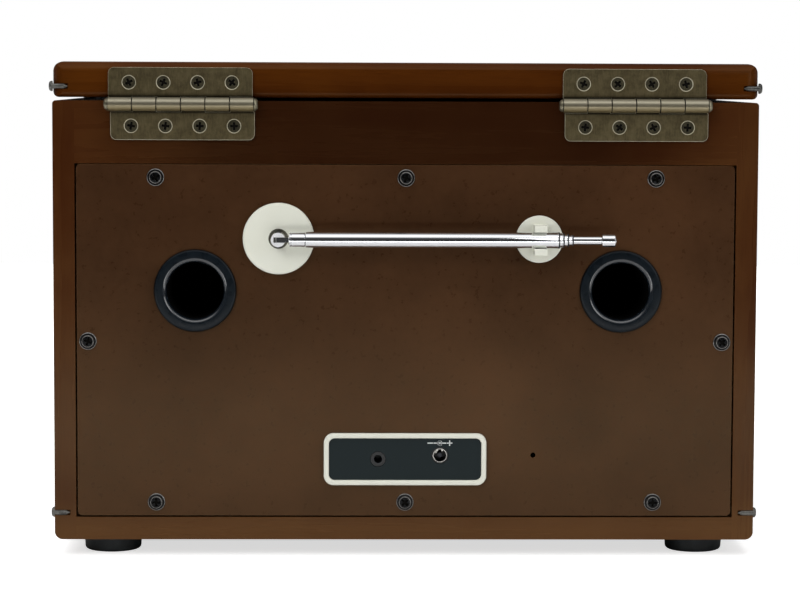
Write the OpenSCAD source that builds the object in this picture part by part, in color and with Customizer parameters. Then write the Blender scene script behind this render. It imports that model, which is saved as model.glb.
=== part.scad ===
// Stereo music centre: a lidded wooden table radio and disc player, in millimetres.
// +Z is up, the front faces -Y, the aerial and sockets are on the back at +Y.
// Z is 0 under the feet; X and Y are 0 at the middle of the overall length and depth.

/* [Cabinet] */
// Outside width of the cabinet
cab_w = 310; // [300:1:360]
// Depth of the cabinet, front face to back face
cab_d = 250; // [235:1:320]
// Height of the cabinet without feet and lid
cab_h = 194; // [190:1:240]
// Thickness of the side boards
wall = 9.5; // [8:0.5:11]
// Thickness of the bottom board
floor_t = 10; // [8:0.5:13]
// Height of the rail above the back panel
rail_h = 27.5; // [26:0.5:32]
// Height of the rail above the front panel
front_rail_h = 15.5; // [15.5:0.5:20]
// Rounding of the long bottom edges
edge_r = 3.5; // [1:0.5:6]
// Rounding of the top edges
top_r = 1.5; // [0.5:0.25:2.5]
// Width and depth of the battens that the panels and the deck sit on
batten = 12; // [11:0.5:13]

/* [Lid] */
// Thickness of the lid
lid_h = 15.6; // [14:0.2:20]
// Gap between cabinet and lid
lid_gap = 1.4; // [1:0.1:2.5]
// Rounding of the lid's upper edge
lid_top_r = 5; // [3:0.5:7]
// Rounding of the lid's lower edge
lid_low_r = 3; // [1:0.5:4]
// Rounding of the lid's corners seen from above
lid_corner_r = 6; // [2:1:12]

/* [Hinges] */
// Width of one hinge leaf
leaf_w = 63; // [58:1:70]
// Thickness of the leaf
leaf_t = 1.2; // [0.8:0.1:1.6]
// Distance of each hinge's middle from the cabinet's side
hinge_in = 55.5; // [48:0.5:62]
// Offset of both hinges from the cabinet's middle
hinge_off = -0.6; // [-2:0.1:2]
// Height of the upper leaf above the pin
leaf_up = 16; // [14:0.5:17]
// Height of the lower leaf below the pin
leaf_down = 15.6; // [14:0.5:18]
// How far the lower leaf is set over against the upper one
leaf_shift = 0.9; // [0.4:0.1:1.5]
// Depth of the pin's middle below the cabinet's top edge
pin_drop = 1.5; // [0.8:0.1:2.5]
// Radius of the rolled knuckles
knuckle_r = 3; // [2.6:0.1:3.4]
// Radius of the hinge pin
pin_r = 1.5; // [1.2:0.1:1.7]
// Distance between neighbouring leaf screws
leaf_screw_pitch = 15; // [13:0.5:16]
// Height of the leaf screws above or below the pin
leaf_screw_z = 9.5; // [8:0.5:10]

/* [Back panel] */
// Thickness of the back panel
panel_t = 9; // [6:0.5:10]
// Gap beside and below the back panel
panel_gap = 0.8; // [0.4:0.1:1.2]
// Gap between the back panel and the rail above it
panel_top_gap = 0.3; // [0.2:0.1:1]
// Inset of the panel screws from the opening's edges
screw_in = 6; // [5:0.25:7]
// Distance of the outer top and bottom screws from the side boards
screw_in_x = 35.5; // [25:0.5:45]
// Distance of the bass ports' middle from the side boards
port_in = 51.7; // [45:0.1:58]
// Offset of that point from the middle of the cabinet
port_shift = -1.1; // [-3:0.1:3]
// Height of the bass ports above the cabinet's bottom
port_z = 110.7; // [95:0.1:125]
// Radius of the port's flange
port_flange_r = 18.2; // [17:0.1:20]
// Radius of the port's throat
port_r = 12.5; // [10:0.5:13]
// Wall of the port's tube
port_wall = 1.8; // [1.2:0.1:2.2]
// Rounding of the lip where the flange turns into the throat
port_lip = 2.2; // [1:0.1:3]
// Height of the flange's crown over the panel
port_crown = 1.8; // [1.6:0.1:2.4]
// Length of the port's tube behind the panel's face
port_len = 55; // [35:1:65]

/* [Aerial] */
// Distance of the aerial's swivel inward of the bass port beside it
aerial_in = 36.7; // [35:0.1:42]
// Height of the aerial above the cabinet's bottom
aerial_z = 133.8; // [125:0.1:140]
// Distance of the clip inward of the other bass port
clip_in = 36.2; // [32:0.1:42]
// Radius of the swivel's disc
disc_r = 15.7; // [13:0.1:17]
// Thickness of the swivel's disc
disc_t = 3; // [2:0.5:4]
// Radius of the clip's disc
clip_r = 10.4; // [9:0.1:12]
// Distance of the rod's axis from the back face
rod_off = 9.2; // [9:0.1:12]
// Outer radius of the largest tube
tube_r = 3.5; // [3.3:0.1:3.6]
// Wall of each tube
tube_wall = 0.35; // [0.3:0.01:0.36]
// Step in radius from one tube to the next
tube_step = 0.4; // [0.4:0.01:0.42]
// Distance from the clip's middle to the largest tube's open end
tube_past = 7.9; // [6:0.1:12]
// Length of the tip
tip_len = 6.4; // [5:0.1:8]
// Radius of the tip
tip_r = 2.85; // [2.5:0.05:3]

/* [Sockets] */
// Width of the socket frame
term_w = 72; // [70:0.5:80]
// Height of the socket frame
term_h = 23.2; // [22:0.2:30]
// Height of the socket frame's middle above the cabinet's bottom
term_z = 36.1; // [34:0.1:45]
// Width of the frame's border
term_border = 2.3; // [1.8:0.1:3]
// Place of the audio socket across the back
aux_x = 12; // [8:0.5:16]
// Place of the supply socket across the back
dc_x = -15.4; // [-20:0.1:-12]
// Height of the supply socket above the frame's middle
dc_up = 1.7; // [0:0.1:2.5]
// Radius of the audio socket's bore
aux_r = 1.8; // [1.75:0.01:1.85]
// Radius of the supply socket's opening
dc_r = 3.1; // [2.8:0.05:3.3]

/* [Feet] */
// Height of the feet
foot_h = 7.5; // [4:0.5:12]
// Radius of the feet
foot_r = 13; // [10:0.5:16]
// Distance of a foot's middle from the cabinet's side
foot_in_x = 24; // [18:1:35]
// Distance of a foot's middle from the front and the back
foot_in_y = 22; // [18:1:35]

/* [Deck] */
// Depth of the deck below the cabinet's top
deck_drop = 12; // [11:0.5:14]
// Thickness of the deck's plate
deck_t = 3; // [2.5:0.5:4]
// Distance of the finger scoop from the batten beside it
disc_gap = 9.5; // [6:0.5:14]
// Radius of the disc well
well_r = 63; // [62:0.5:66]
// Depth of the disc well
well_d = 5; // [4.5:0.5:6]
// Travel of the pickup
sled_travel = 34; // [25:1:35]
// Travel of the keys
key_travel = 1.2; // [0.8:0.1:1.5]
// Distance of the lid stay from the side board
stay_in = 16; // [14:0.5:20]
// Radius of the lid stay's arc about the hinge pin
stay_r = 95; // [80:1:100]
// Angle that the lid opens to
lid_open = 70; // [50:1:70]

/* [Front] */
// Recess of the front panel behind the cabinet's front edges
front_recess = 2; // [1:0.5:4]
// Thickness of the front panel
front_t = 9; // [6:0.5:10]
// Half width of the plain middle between the grille windows
mid_half = 58; // [56:0.5:62]
// Height of the loudspeakers above the cabinet's bottom
speaker_z = 101.5; // [90:0.5:110]
// Height of the grille's window
grille_h = 120; // [90:1:130]
// Width of the bars across the window
bar_w = 6; // [3:0.5:10]
// Width of the loudspeaker's flange beside the grille's window
driver_lap = 2.5; // [1.5:0.5:2.5]
// Width of the cloth beside the grille's window
cloth_lap = 3; // [2:0.5:4]
// Height of the dial above the cabinet's bottom
dial_z = 124; // [115:0.5:130]
// Radius of the dial's rim
dial_r = 45; // [38:0.5:47]
// Radius of the tuning knob
tune_r = 16; // [12:0.5:20]
// Radius of the two small knobs
knob_r = 12; // [9:0.5:14]
// Distance of the small knobs from the middle
knob_x = 26; // [20:0.5:30]
// Height of the small knobs above the cabinet's bottom
knob_z = 46; // [35:0.5:50]
// Height of the knobs in front of the cabinet
knob_h = 16; // [12:0.5:20]

/* [Hidden] */

$fn = 64;
eps = 0.01;
fit = 0.05;        // running clearance of a shaft in its bore, on the radius
slack = 0.3;       // clearance between pieces that move past each other
seat = 0.1;        // clearance of a fixed piece in its hole

half_w = cab_w / 2;
in_w = half_w - wall;
hinge_x = half_w - hinge_in;
screw_x = in_w - screw_in_x;
port_x = in_w - port_in;
aerial_x = port_shift + port_x - aerial_in;
clip_x = port_shift - port_x + clip_in;
tube_reach = aerial_x - clip_x + tube_past;
grille_w = in_w - batten - 0.5 - cloth_lap - mid_half;
speaker_x = mid_half + grille_w / 2;
driver_r = grille_w / 2 + driver_lap;
z0 = foot_h;
floor_z = z0 + floor_t;
top_z = z0 + cab_h;
lid_z = top_z + lid_gap;
lid_top = lid_z + lid_h;
rear_open_z = top_z - rail_h;
front_open_z = top_z - front_rail_h;

clip_tip = 3.2;                       // height of the clip's prongs past the rod's axis
rear_reach = rod_off + max(tube_r, clip_tip);  // what stands out behind the back face
y_mid = (knob_h - rear_reach) / 2;
rear_y = y_mid + cab_d / 2;
front_y = y_mid - cab_d / 2;
panel_y = rear_y - panel_t;
baffle_y = front_y + front_recess;
baffle_back = baffle_y + front_t;

pin_y = rear_y + knuckle_r + 0.25;
pin_z = top_z - pin_drop;
function hinge_at(s) = s * hinge_x + hinge_off;
knuckles = 6;
knuckle_pitch = (leaf_w + leaf_shift) / knuckles;
screw_head_r = 2.8;
sink_ring = 0.35;      // countersink that shows round each leaf screw
wood_screw_r = 1.3;
wood_screw_len = wall - 0.6;

deck_z = top_z - deck_drop;
deck_under = deck_z - deck_t;
well_z = deck_z - well_d;
well_t = 2.5;
well_under = well_z - well_t;
disc_y = y_mid - 4;
scoop_r = 14;
scoop_x = well_r + 2;
disc_x = -(in_w - batten - disc_gap - scoop_x - scoop_r);
stay_x = in_w - stay_in;
plate_w = 12;
plate_set = 2.4;       // offset of the stay's plate toward the middle
key_x = (disc_x + scoop_x + scoop_r + stay_x - plate_set - plate_w / 2) / 2;
hub_bore = 17;
chassis_z = well_under - 7;
chassis_t = 1.5;
rail_z = well_under - 3;
rail_dx = 21;
rail_r = 1.5;
sled_y = disc_y - 23;
sled_far = sled_y - sled_travel;
spindle_r = 1;

// A box between two corners.
module box(x0, x1, y0, y1, z_a, z_b) {
  translate([x0, y0, z_a]) cube([x1 - x0, y1 - y0, z_b - z_a]);
}

// A rectangle with true round corners, centred.
module round_rect(w, h, r) {
  square([w - 2 * r, h], center = true);
  square([w, h - 2 * r], center = true);
  for (sx = [-1, 1], sy = [-1, 1])
    translate([sx * (w / 2 - r), sy * (h / 2 - r)]) circle(r);
}

// Local +Z points out of the back face, local +X stays +X.
module on_back(x, z, y = rear_y) { translate([x, y, z]) rotate([-90, 0, 0]) children(); }

// Local +Z points out of the front, local +Y is up.
module on_front(x, z, y = baffle_y) { translate([x, y, z]) rotate([90, 0, 0]) children(); }

// A plate whose outline lies in X and Z, between two depths.
module upright(ya, yb) { translate([0, yb, 0]) rotate([90, 0, 0]) linear_extrude(yb - ya) children(); }

// A round bar along X.
module bar_x(xa, xb, y, z, r) { translate([xa, y, z]) rotate([0, 90, 0]) cylinder(h = xb - xa, r = r); }

// A round bar along Y.
module bar_y(ya, yb, x, z, r) { translate([x, yb, z]) rotate([90, 0, 0]) cylinder(h = yb - ya, r = r); }

// Points of an arc, for turned profiles.
function arc(cx, cy, r, a0, a1, n = 8) =
  [for (i = [0:n]) let (a = a0 + (a1 - a0) * i / n) [cx + r * cos(a), cy + r * sin(a)]];

// The cross cut in a screw's head, turned as the screw happened to stop.
module cross_cut(w, depth, turn = 45) {
  for (a = [turn, turn + 90]) rotate([0, 0, a])
    translate([-w / 2, -w * 0.16, -depth]) cube([w, w * 0.32, depth + eps]);
}

// ---------------------------------------------------------------- cabinet

// Cabinet outline in X and Z: rounder below than above.
module cabinet_outline() {
  translate([-half_w + edge_r, z0]) square([cab_w - 2 * edge_r, cab_h]);
  translate([-half_w, z0 + edge_r]) square([cab_w, cab_h - edge_r - top_r]);
  translate([-half_w + top_r, z0 + edge_r]) square([cab_w - 2 * top_r, cab_h - edge_r]);
  for (s = [-1, 1]) {
    translate([s * (half_w - edge_r), z0 + edge_r]) circle(edge_r);
    translate([s * (half_w - top_r), top_z - top_r]) circle(top_r);
  }
}

// Places of the eight panel screws as [x, z].
panel_screws = concat(
  [for (x = [-screw_x, 0, screw_x], z = [floor_z + screw_in + 0.8, rear_open_z - screw_in]) [x, z]],
  [for (s = [-1, 1]) [s * (in_w - screw_in + 0.4), (floor_z + rear_open_z) / 2]]);

// Places of the four feet as [x, y].
feet_at = [for (sx = [-1, 1], sy = [-1, 1])
  [sx * (half_w - foot_in_x), y_mid + sy * (cab_d / 2 - foot_in_y)]];

// Hinge screw places along one hinge, as offsets from its middle.
leaf_screws = [for (i = [-1.5:1:1.5]) i * leaf_screw_pitch];

module batten_frame(ya, yb, z_top) {
  difference() {
    box(-in_w, in_w, ya, yb, floor_z, z_top);
    box(-in_w + batten, in_w - batten, ya - 1, yb + 1, floor_z + batten, z_top - batten);
  }
}

module cabinet() color([0.25, 0.12, 0.05]) {
  difference() {
    union() {
      difference() {
        upright(front_y, rear_y) cabinet_outline();
        box(-in_w, in_w, front_y - 1, rear_y - wall, floor_z, front_open_z);
        box(-in_w, in_w, front_y + wall, rear_y + 1, floor_z, rear_open_z);
        box(-in_w, in_w, front_y + wall, rear_y - wall, floor_z, top_z + 1);
      }
      batten_frame(panel_y - batten, panel_y, rear_open_z);
      batten_frame(baffle_back, baffle_back + batten, deck_under);
      for (s = [-1, 1])
        box(s > 0 ? in_w - batten : -in_w, s > 0 ? in_w : -in_w + batten,
            baffle_back, panel_y, deck_under - batten, deck_under);
    }
    for (p = panel_screws) on_back(p[0], p[1], panel_y)
      translate([0, 0, -batten + 1]) cylinder(h = batten, r = 1.6);
    for (s = [-1, 1], x = leaf_screws)
      on_back(hinge_at(s) - leaf_shift + x, pin_z - leaf_screw_z) translate([0, 0, -wood_screw_len])
        cylinder(h = wood_screw_len + 1, r = wood_screw_r);
    for (s = [-1, 1]) edge_tack_cut(s, z0 + 12);
    for (p = deck_screw_at) translate([p[0], p[1], deck_under - 8]) cylinder(h = 9, r = 1.3);
  }
}

module rear_panel() color([0.26, 0.16, 0.09]) {
  low = floor_z + panel_gap;
  high = rear_open_z - panel_top_gap;
  difference() {
    upright(panel_y, rear_y) translate([0, (low + high) / 2])
      round_rect(2 * (in_w - panel_gap), high - low, 2);
    for (p = panel_screws) on_back(p[0], p[1], panel_y - 1) cylinder(h = panel_t + 2, r = 1.6 + seat);
    for (s = [-1, 1]) on_back(port_shift + s * port_x, z0 + port_z, panel_y - 1)
      cylinder(h = panel_t + 2, r = port_r + port_wall + seat);
    on_back(aerial_x, z0 + aerial_z, panel_y - 1) cylinder(h = panel_t + 2, r = stud_shaft_r + fit);
    for (s = [-1, 1]) on_back(clip_x + s * 5, z0 + aerial_z, panel_y - 1)
      cylinder(h = panel_t + 2, r = 1.5 + seat);
    on_back(0, z0 + term_z, panel_y - 1) linear_extrude(panel_t + 2)
      round_rect(term_w - 2 * term_border, term_h - 2 * term_border, 2.6);
    on_back(clip_x + 2, z0 + term_z + 1.7, panel_y - 1) cylinder(h = panel_t + 2, r = 1.2);
  }
}

pan_r = 2.8;
pan_h = 2.1;
flange_r = 3.8;
flange_t = 0.5;

// Black screws: a pan head with a cross recess on a flange that covers the hole.
module rear_panel_screws() color([0.06, 0.06, 0.06])
  for (i = [0:len(panel_screws) - 1]) on_back(panel_screws[i][0], panel_screws[i][1]) difference() {
    union() {
      rotate_extrude() polygon(concat([[0, 0], [flange_r, 0], [flange_r, flange_t * 0.6],
        [flange_r - 0.3, flange_t], [pan_r, flange_t]], arc(pan_r - 0.7, pan_h - 0.7, 0.7, 0, 70, 4),
        [[0, pan_h + 0.1]]));
      translate([0, 0, 1.2 - panel_t - batten]) cylinder(h = panel_t + batten, r = 1.6);
    }
    translate([0, 0, pan_h + 0.2]) cross_cut(3.8, 1.5, 23 * i);
  }

// ---------------------------------------------------------------- bass ports

// A turned plastic tube with a flat crown outside and a round lip into its throat.
module bass_port(x) color([0.06, 0.07, 0.08])
  on_back(x, z0 + port_z) rotate_extrude($fn = 72)
    polygon(concat(
      [[port_r, -port_len + 3], [port_r, port_crown - port_lip]],
      arc(port_r + port_lip, port_crown - port_lip, port_lip, 180, 90, 8),
      arc(port_flange_r - 1.2, 0.4, 1.2, 90, 0, 5),
      [[port_flange_r, 0], [port_r + port_wall, 0], [port_r + port_wall, -port_len]],
      [[port_r + 1, -port_len]]));

// ---------------------------------------------------------------- aerial mounts

stud_shaft_r = 2.5;
stud_head_r = 3.2;
dish_r = 4.1;

module aerial_disc() color([0.86, 0.85, 0.78])
  on_back(aerial_x, z0 + aerial_z) difference() {
    rotate_extrude($fn = 96)
      polygon(concat([[stud_shaft_r + fit, 0], [disc_r, 0], [disc_r, disc_t - 0.8]], arc(disc_r - 0.8,
      disc_t - 0.8, 0.8, 0, 90, 4), [[dish_r + 0.3, disc_t], [dish_r, disc_t - 0.3], [dish_r,
      disc_t - 1.5], [stud_shaft_r + fit, disc_t - 1.5]]));
  }

// Disc with two prongs that the largest tube snaps between, and two pegs behind.
module aerial_clip() color([0.88, 0.87, 0.79]) {
  prong_w = 5.6;
  prong_t = 2.9;
  gap = tube_r + seat;
  difference() {
    union() {
      on_back(clip_x, z0 + aerial_z) rotate_extrude()
        polygon(concat([[0, 0], [clip_r, 0], [clip_r, 1.4]], arc(clip_r - 0.6, 1.4, 0.6, 0, 90, 3),
          [[0, 2]]));
      for (s = [-1, 1]) translate([clip_x, rear_y + 1, z0 + aerial_z + s * (gap + prong_t / 2 - 0.4)])
        translate([-prong_w / 2, 0, -prong_t / 2 - 0.4])
          cube([prong_w, rod_off + clip_tip - 1, prong_t + 0.8]);
      for (s = [-1, 1]) on_back(clip_x + s * 5, z0 + aerial_z, panel_y) cylinder(h = panel_t + 1, r = 1.5);
    }
    bar_x(clip_x - 9, clip_x + 9, rear_y + rod_off, z0 + aerial_z, gap);
    box(clip_x - 9, clip_x + 9, rear_y + rod_off, rear_y + 30, z0 + aerial_z - gap, z0 + aerial_z + gap);
  }
}

// ---------------------------------------------------------------- aerial

rod_y = rear_y + rod_off;
rod_z = z0 + aerial_z;
tongue_t = 2;
tongue_r = 1.75;
fold_pin_r = 0.9;
base_start = 4.6;      // from the swivel's axis to the largest tube's closed end
neck_len = 7.5;
neck_r = tube_r - 0.2;

// Swivel stud: a shaft through the panel, a forked head and the fold pin.
module aerial_stud() color([0.75, 0.75, 0.76]) {
  on_back(aerial_x, rod_z) {
    difference() {
      union() {
        translate([0, 0, disc_t - 1.5 + fit])
          cylinder(h = rod_off + 2.7 - disc_t + 1.5 - fit, r = stud_head_r);
        translate([0, 0, -panel_t - 3]) cylinder(h = panel_t + 3 + disc_t, r = stud_shaft_r);
        translate([0, 0, -panel_t - 1.4 - fit]) cylinder(h = 1.4, r = 5);
      }
      translate([-stud_head_r - 2, -tongue_t / 2 - seat, rod_off - 3.4])
        cube([stud_head_r + 2 + tongue_r + 0.15, tongue_t + 2 * seat, 12]);
    }
    translate([0, tongue_t / 2 + seat + 1, rod_off]) rotate([90, 0, 0])
      cylinder(h = tongue_t + 2 * seat + 2, r = fold_pin_r);
  }
}

// A tube of the aerial along -X, from a start to an end distance, closed or open.
module tube(r, from, to, bore_from) {
  difference() {
    translate([aerial_x - from, rod_y, rod_z]) rotate([0, -90, 0]) rotate_extrude()
      polygon([[0, 0], [r, 0], [r, to - from - 0.5], [r - 0.25, to - from], [0, to - from]]);
    bar_x(aerial_x - to - 1, aerial_x - bore_from, rod_y, rod_z, r - tube_wall);
  }
}

// Largest tube: a rolled neck with two grooves, and the flattened tongue that turns on the pin.
module aerial_tube_1() color([0.78, 0.79, 0.8]) {
  tube(tube_r, base_start + neck_len, tube_reach, base_start + neck_len);
  translate([aerial_x - base_start, rod_y, rod_z]) rotate([0, -90, 0]) rotate_extrude()
    polygon([[0, 0], [neck_r - 0.4, 0], [neck_r, 0.4], [neck_r, 0.9], [neck_r - 0.2, 1], [neck_r - 0.2,
    1.2],
      [neck_r, 1.3], [neck_r, neck_len - 0.6], [neck_r - 0.2, neck_len - 0.5], [neck_r - 0.2,
        neck_len - 0.3],
      [tube_r - 0.1, neck_len], [tube_r - 0.1, neck_len + 0.1], [0, neck_len + 0.1]]);
  difference() {
    union() {
      translate([aerial_x - base_start - 1, rod_y - tongue_r, rod_z - tongue_t / 2])
        cube([base_start + 1, 2 * tongue_r, tongue_t]);
      translate([aerial_x, rod_y, rod_z - tongue_t / 2]) cylinder(h = tongue_t, r = tongue_r);
    }
    translate([aerial_x, rod_y, rod_z - 5]) cylinder(h = 10, r = fold_pin_r + fit);
  }
}

function stage_r(i) = tube_r - tube_step * (i - 1);
function stage_end(i) = tube_reach + 2 * (i - 1);
stage_start = base_start + 8.5;

module aerial_stage(i) color([0.78, 0.79, 0.8])
  tube(stage_r(i), stage_start + i - 2, stage_end(i), stage_start + i - 1.2);

// The innermost solid rod with its tip.
module aerial_tip_rod() color([0.78, 0.79, 0.8]) {
  r = stage_r(5);
  rod_end = tube_reach + 18.7;
  bar_x(aerial_x - rod_end, aerial_x - stage_start - 3, rod_y, rod_z, r);
  translate([aerial_x - rod_end, rod_y, rod_z]) rotate([0, -90, 0]) rotate_extrude()
    polygon([[0, 0], [tip_r - 0.4, 0], [tip_r, 0.4], [tip_r, tip_len - 0.6], [tip_r - 0.6, tip_len],
      [0, tip_len]]);
}

// ---------------------------------------------------------------- sockets

term_t = 2;

module terminal_frame() color([0.85, 0.84, 0.76])
  on_back(0, z0 + term_z) difference() {
    linear_extrude(term_t) round_rect(term_w, term_h, 4.3);
    translate([0, 0, -1]) linear_extrude(term_t + 2)
      round_rect(term_w - 2 * term_border, term_h - 2 * term_border, 2.6);
  }

// Dark plate let into the panel behind the frame, with a hole at each socket.
module terminal_plate() color([0.12, 0.14, 0.15])
  on_back(0, z0 + term_z) difference() {
    translate([0, 0, -2]) linear_extrude(3)
      round_rect(term_w - 2 * term_border - 2 * seat, term_h - 2 * term_border - 2 * seat, 2.5);
    translate([aux_x, 0, -3]) cylinder(h = 5, r = aux_nose_r + seat);
    translate([dc_x, -dc_up, -3]) cylinder(h = 5, r = dc_nose_r + seat);
  }

aux_nose_r = 3.4;
dc_nose_r = dc_r + 0.6;
socket_len = 12;

module aux_socket() color([0.08, 0.08, 0.09])
  on_back(aux_x, z0 + term_z) difference() {
    union() {
      translate([0, 0, -4]) cylinder(h = 4.7, r = aux_nose_r);
      translate([-6, -5.5, -15]) cube([12, 11, 13]);
    }
    translate([0, 0, 0.7 - socket_len]) cylinder(h = socket_len + 1, r = aux_r);
  }

module dc_socket() color([0.1, 0.1, 0.11])
  on_back(dc_x, z0 + term_z + dc_up) {
    difference() {
      union() {
        translate([0, 0, -4]) cylinder(h = 4.7, r = dc_nose_r);
        translate([-4.5, -5, -14]) cube([9, 10, 12]);
      }
      translate([0, 0, 0.7 - 9.5]) cylinder(h = 10.5, r = dc_r);
    }
    translate([0, 0, 0.2 - 10]) cylinder(h = 9.2, r = 1.05);
    for (s = [-1, 1]) translate([s * 1.1 - 0.3, -dc_r - 0.2, -9]) cube([0.6, 1.7, 7.6]);
  }

// ---------------------------------------------------------------- feet

module feet() color([0.05, 0.05, 0.05])
  for (p = feet_at) translate([p[0], p[1], 0]) rotate_extrude()
    polygon(concat([[0, foot_h], [0, 1.6], [5, 1.6], [6, 0], [foot_r - 2.4, 0]],
      arc(foot_r - 2, 1.6, 1.6, -75, 0, 4), [[foot_r, foot_h]]));

// ---------------------------------------------------------------- hinges

// One knuckle of the barrel, counted from the +X end.
module knuckle(i, x_hinge) {
  x1 = x_hinge + leaf_w / 2 - i * knuckle_pitch;
  bar_x(x1 - knuckle_pitch + 0.3, x1, pin_y, pin_z, knuckle_r);
}

// One leaf: a rounded plate, three knuckles, four countersunk holes.
module leaf(x_hinge, up) {
  dir = up ? 1 : -1;
  size = up ? leaf_up : leaf_down;
  x_mid = up ? x_hinge : x_hinge - leaf_shift;
  first = up ? 0 : 1;
  clear_z = knuckle_r + slack;
  difference() {
    union() {
      upright(rear_y, rear_y + leaf_t) translate([x_mid, pin_z + dir * (clear_z + size) / 2])
        round_rect(leaf_w, size - clear_z, 2.6);
      upright(rear_y, rear_y + leaf_t)
        translate([x_mid - leaf_w / 2, pin_z + (up ? clear_z : -clear_z - 4)]) square([leaf_w, 4]);
      for (i = [first:2:knuckles - 1]) {
        knuckle(i, x_hinge);
        x1 = x_hinge + leaf_w / 2 - i * knuckle_pitch;
        box(max(x1 - knuckle_pitch + 0.3, x_mid - leaf_w / 2), min(x1, x_mid + leaf_w / 2),
            rear_y + (up ? 0.25 : 0), rear_y + leaf_t, up ? pin_z : pin_z - clear_z - 1,
              up ? pin_z + clear_z + 1 : pin_z);
      }
    }
    bar_x(x_hinge - leaf_w, x_hinge + leaf_w, pin_y, pin_z, pin_r + fit);
    for (x = leaf_screws) on_back(x_mid + x, pin_z + dir * leaf_screw_z, rear_y - 1) {
      cylinder(h = 4, r = wood_screw_r + seat);
      translate([0, 0, 1]) cylinder(h = leaf_t + eps, r1 = wood_screw_r + seat,
        r2 = screw_head_r + sink_ring);
    }
  }
}

module body_hinge_leaves() color([0.3, 0.27, 0.18]) for (s = [-1, 1]) leaf(hinge_at(s), false);

module lid_hinge_leaves() color([0.3, 0.27, 0.18]) for (s = [-1, 1]) leaf(hinge_at(s), true);

// Pins with a domed head at both ends.
module hinge_pins() color([0.55, 0.5, 0.36])
  for (s = [-1, 1]) {
    x_a = hinge_at(s) - leaf_w / 2 - leaf_shift;
    x_b = hinge_at(s) + leaf_w / 2;
    bar_x(x_a - 0.3, x_b + 0.3, pin_y, pin_z, pin_r);
    for (e = [0, 1]) translate([e > 0 ? x_b + 0.15 : x_a - 0.15 + 0.3, pin_y, pin_z])
      rotate([0, e > 0 ? 90 : -90, 0]) rotate_extrude()
      polygon(concat([[0, 0], [2.7, 0]], arc(0.9, 0, 1.8, 0, 60, 4), [[0, 1.65]]));
  }

// Countersunk wood screws of one row of leaves.
module leaf_screw_row(up) color([0.16, 0.15, 0.12])
  for (s = [-1, 1], x = leaf_screws)
    on_back(hinge_at(s) - (up ? 0 : leaf_shift) + x, pin_z + (up ? 1 : -1) * leaf_screw_z) difference() {
      union() {
        translate([0, 0, -wood_screw_len + 0.5]) cylinder(h = wood_screw_len, r = wood_screw_r - seat);
        translate([0, 0, 0.1]) cylinder(h = leaf_t - 0.1, r1 = wood_screw_r, r2 = screw_head_r);
      }
      translate([0, 0, leaf_t]) cross_cut(3.5, 0.5, 40 + (up ? 17 : 29) * (s + 2) * x / leaf_screw_pitch);
    }

module body_hinge_screws() leaf_screw_row(false);

module lid_hinge_screws() leaf_screw_row(true);

// ---------------------------------------------------------------- edge tacks

tack_r = 1.1;
tack_len = 4.9;

// Shank half sunk in the back edge, round head outside the side.
module edge_tack(s, z) {
  x_in = half_w - tack_len;
  bar_x(s > 0 ? x_in : -half_w - 0.2, s > 0 ? half_w + 0.2 : -x_in, rear_y - 0.2, z, tack_r);
  translate([s * x_in, rear_y - 0.2, z]) rotate([0, -s * 90, 0]) cylinder(h = 1.8, r1 = tack_r, r2 = 0.2);
  translate([s * half_w, rear_y - 1.9, z]) rotate([0, s * 90, 0]) rotate_extrude()
    polygon(concat([[0, 0], [2.3, 0]], arc(1.1, 0.3, 1.2, 0, 90, 4), [[0, 1.5]]));
}

module edge_tack_cut(s, z) {
  x_in = half_w - tack_len - 2;
  bar_x(s > 0 ? x_in : -half_w - 1, s > 0 ? half_w + 1 : -x_in, rear_y - 0.2, z, tack_r + seat);
}

module body_edge_tacks() color([0.2, 0.2, 0.18]) for (s = [-1, 1]) edge_tack(s, z0 + 12);

module lid_edge_tacks() color([0.2, 0.2, 0.18]) for (s = [-1, 1]) edge_tack(s, lid_z + 4.8);

// ---------------------------------------------------------------- lid

// A board with true rounded edges all round: three rounded outlines crossed.
module lid_board() {
  mid = lid_z + lid_h / 2;
  intersection() {
    upright(front_y - 5, rear_y + 5) lid_section(cab_w);
    translate([-half_w - 5, y_mid, 0]) rotate([90, 0, 90]) linear_extrude(cab_w + 10) lid_section(cab_d);
    translate([0, y_mid, lid_z - 1]) linear_extrude(lid_h + 2) round_rect(cab_w, cab_d, lid_corner_r);
  }
}

// Edge section of the lid over a given span: round above, less round below.
module lid_section(span) {
  h = span / 2;
  translate([-h, lid_z + lid_low_r]) square([span, lid_h - lid_low_r - lid_top_r]);
  translate([-h + lid_low_r, lid_z]) square([span - 2 * lid_low_r, lid_h / 2]);
  translate([-h + lid_top_r, lid_z + lid_low_r]) square([span - 2 * lid_top_r, lid_h - lid_low_r]);
  for (s = [-1, 1]) {
    translate([s * (h - lid_low_r), lid_z + lid_low_r]) circle(lid_low_r);
    translate([s * (h - lid_top_r), lid_top - lid_top_r]) circle(lid_top_r);
  }
}

module lid() color([0.28, 0.13, 0.05])
  difference() {
    lid_board();
    for (s = [-1, 1], x = leaf_screws) on_back(hinge_at(s) + x, pin_z + leaf_screw_z)
      translate([0, 0, -wood_screw_len]) cylinder(h = wood_screw_len + 1, r = wood_screw_r);
    for (s = [-1, 1]) edge_tack_cut(s, lid_z + 4.8);
    for (s = [-1, 1]) translate([stay_x - 6, stay_top_y + s * 5, lid_z - 1]) cylinder(h = 8, r = 1.2);
    on_front(0, lid_z, front_y) translate([0, -2, -4]) cylinder(h = 6, r = 9);
  }

pad_h = lid_gap - seat;

module lid_pads() color([0.08, 0.08, 0.08])
  for (s = [-1, 1], y = [front_y + wall / 2, y_mid])
    translate([s * (half_w - wall / 2), y, lid_z - pad_h]) cylinder(h = pad_h, r = 3);

// ---------------------------------------------------------------- lid stay

stay_w = 6;
stay_t = 2;
stay_top_y = pin_y - stay_r;

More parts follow.
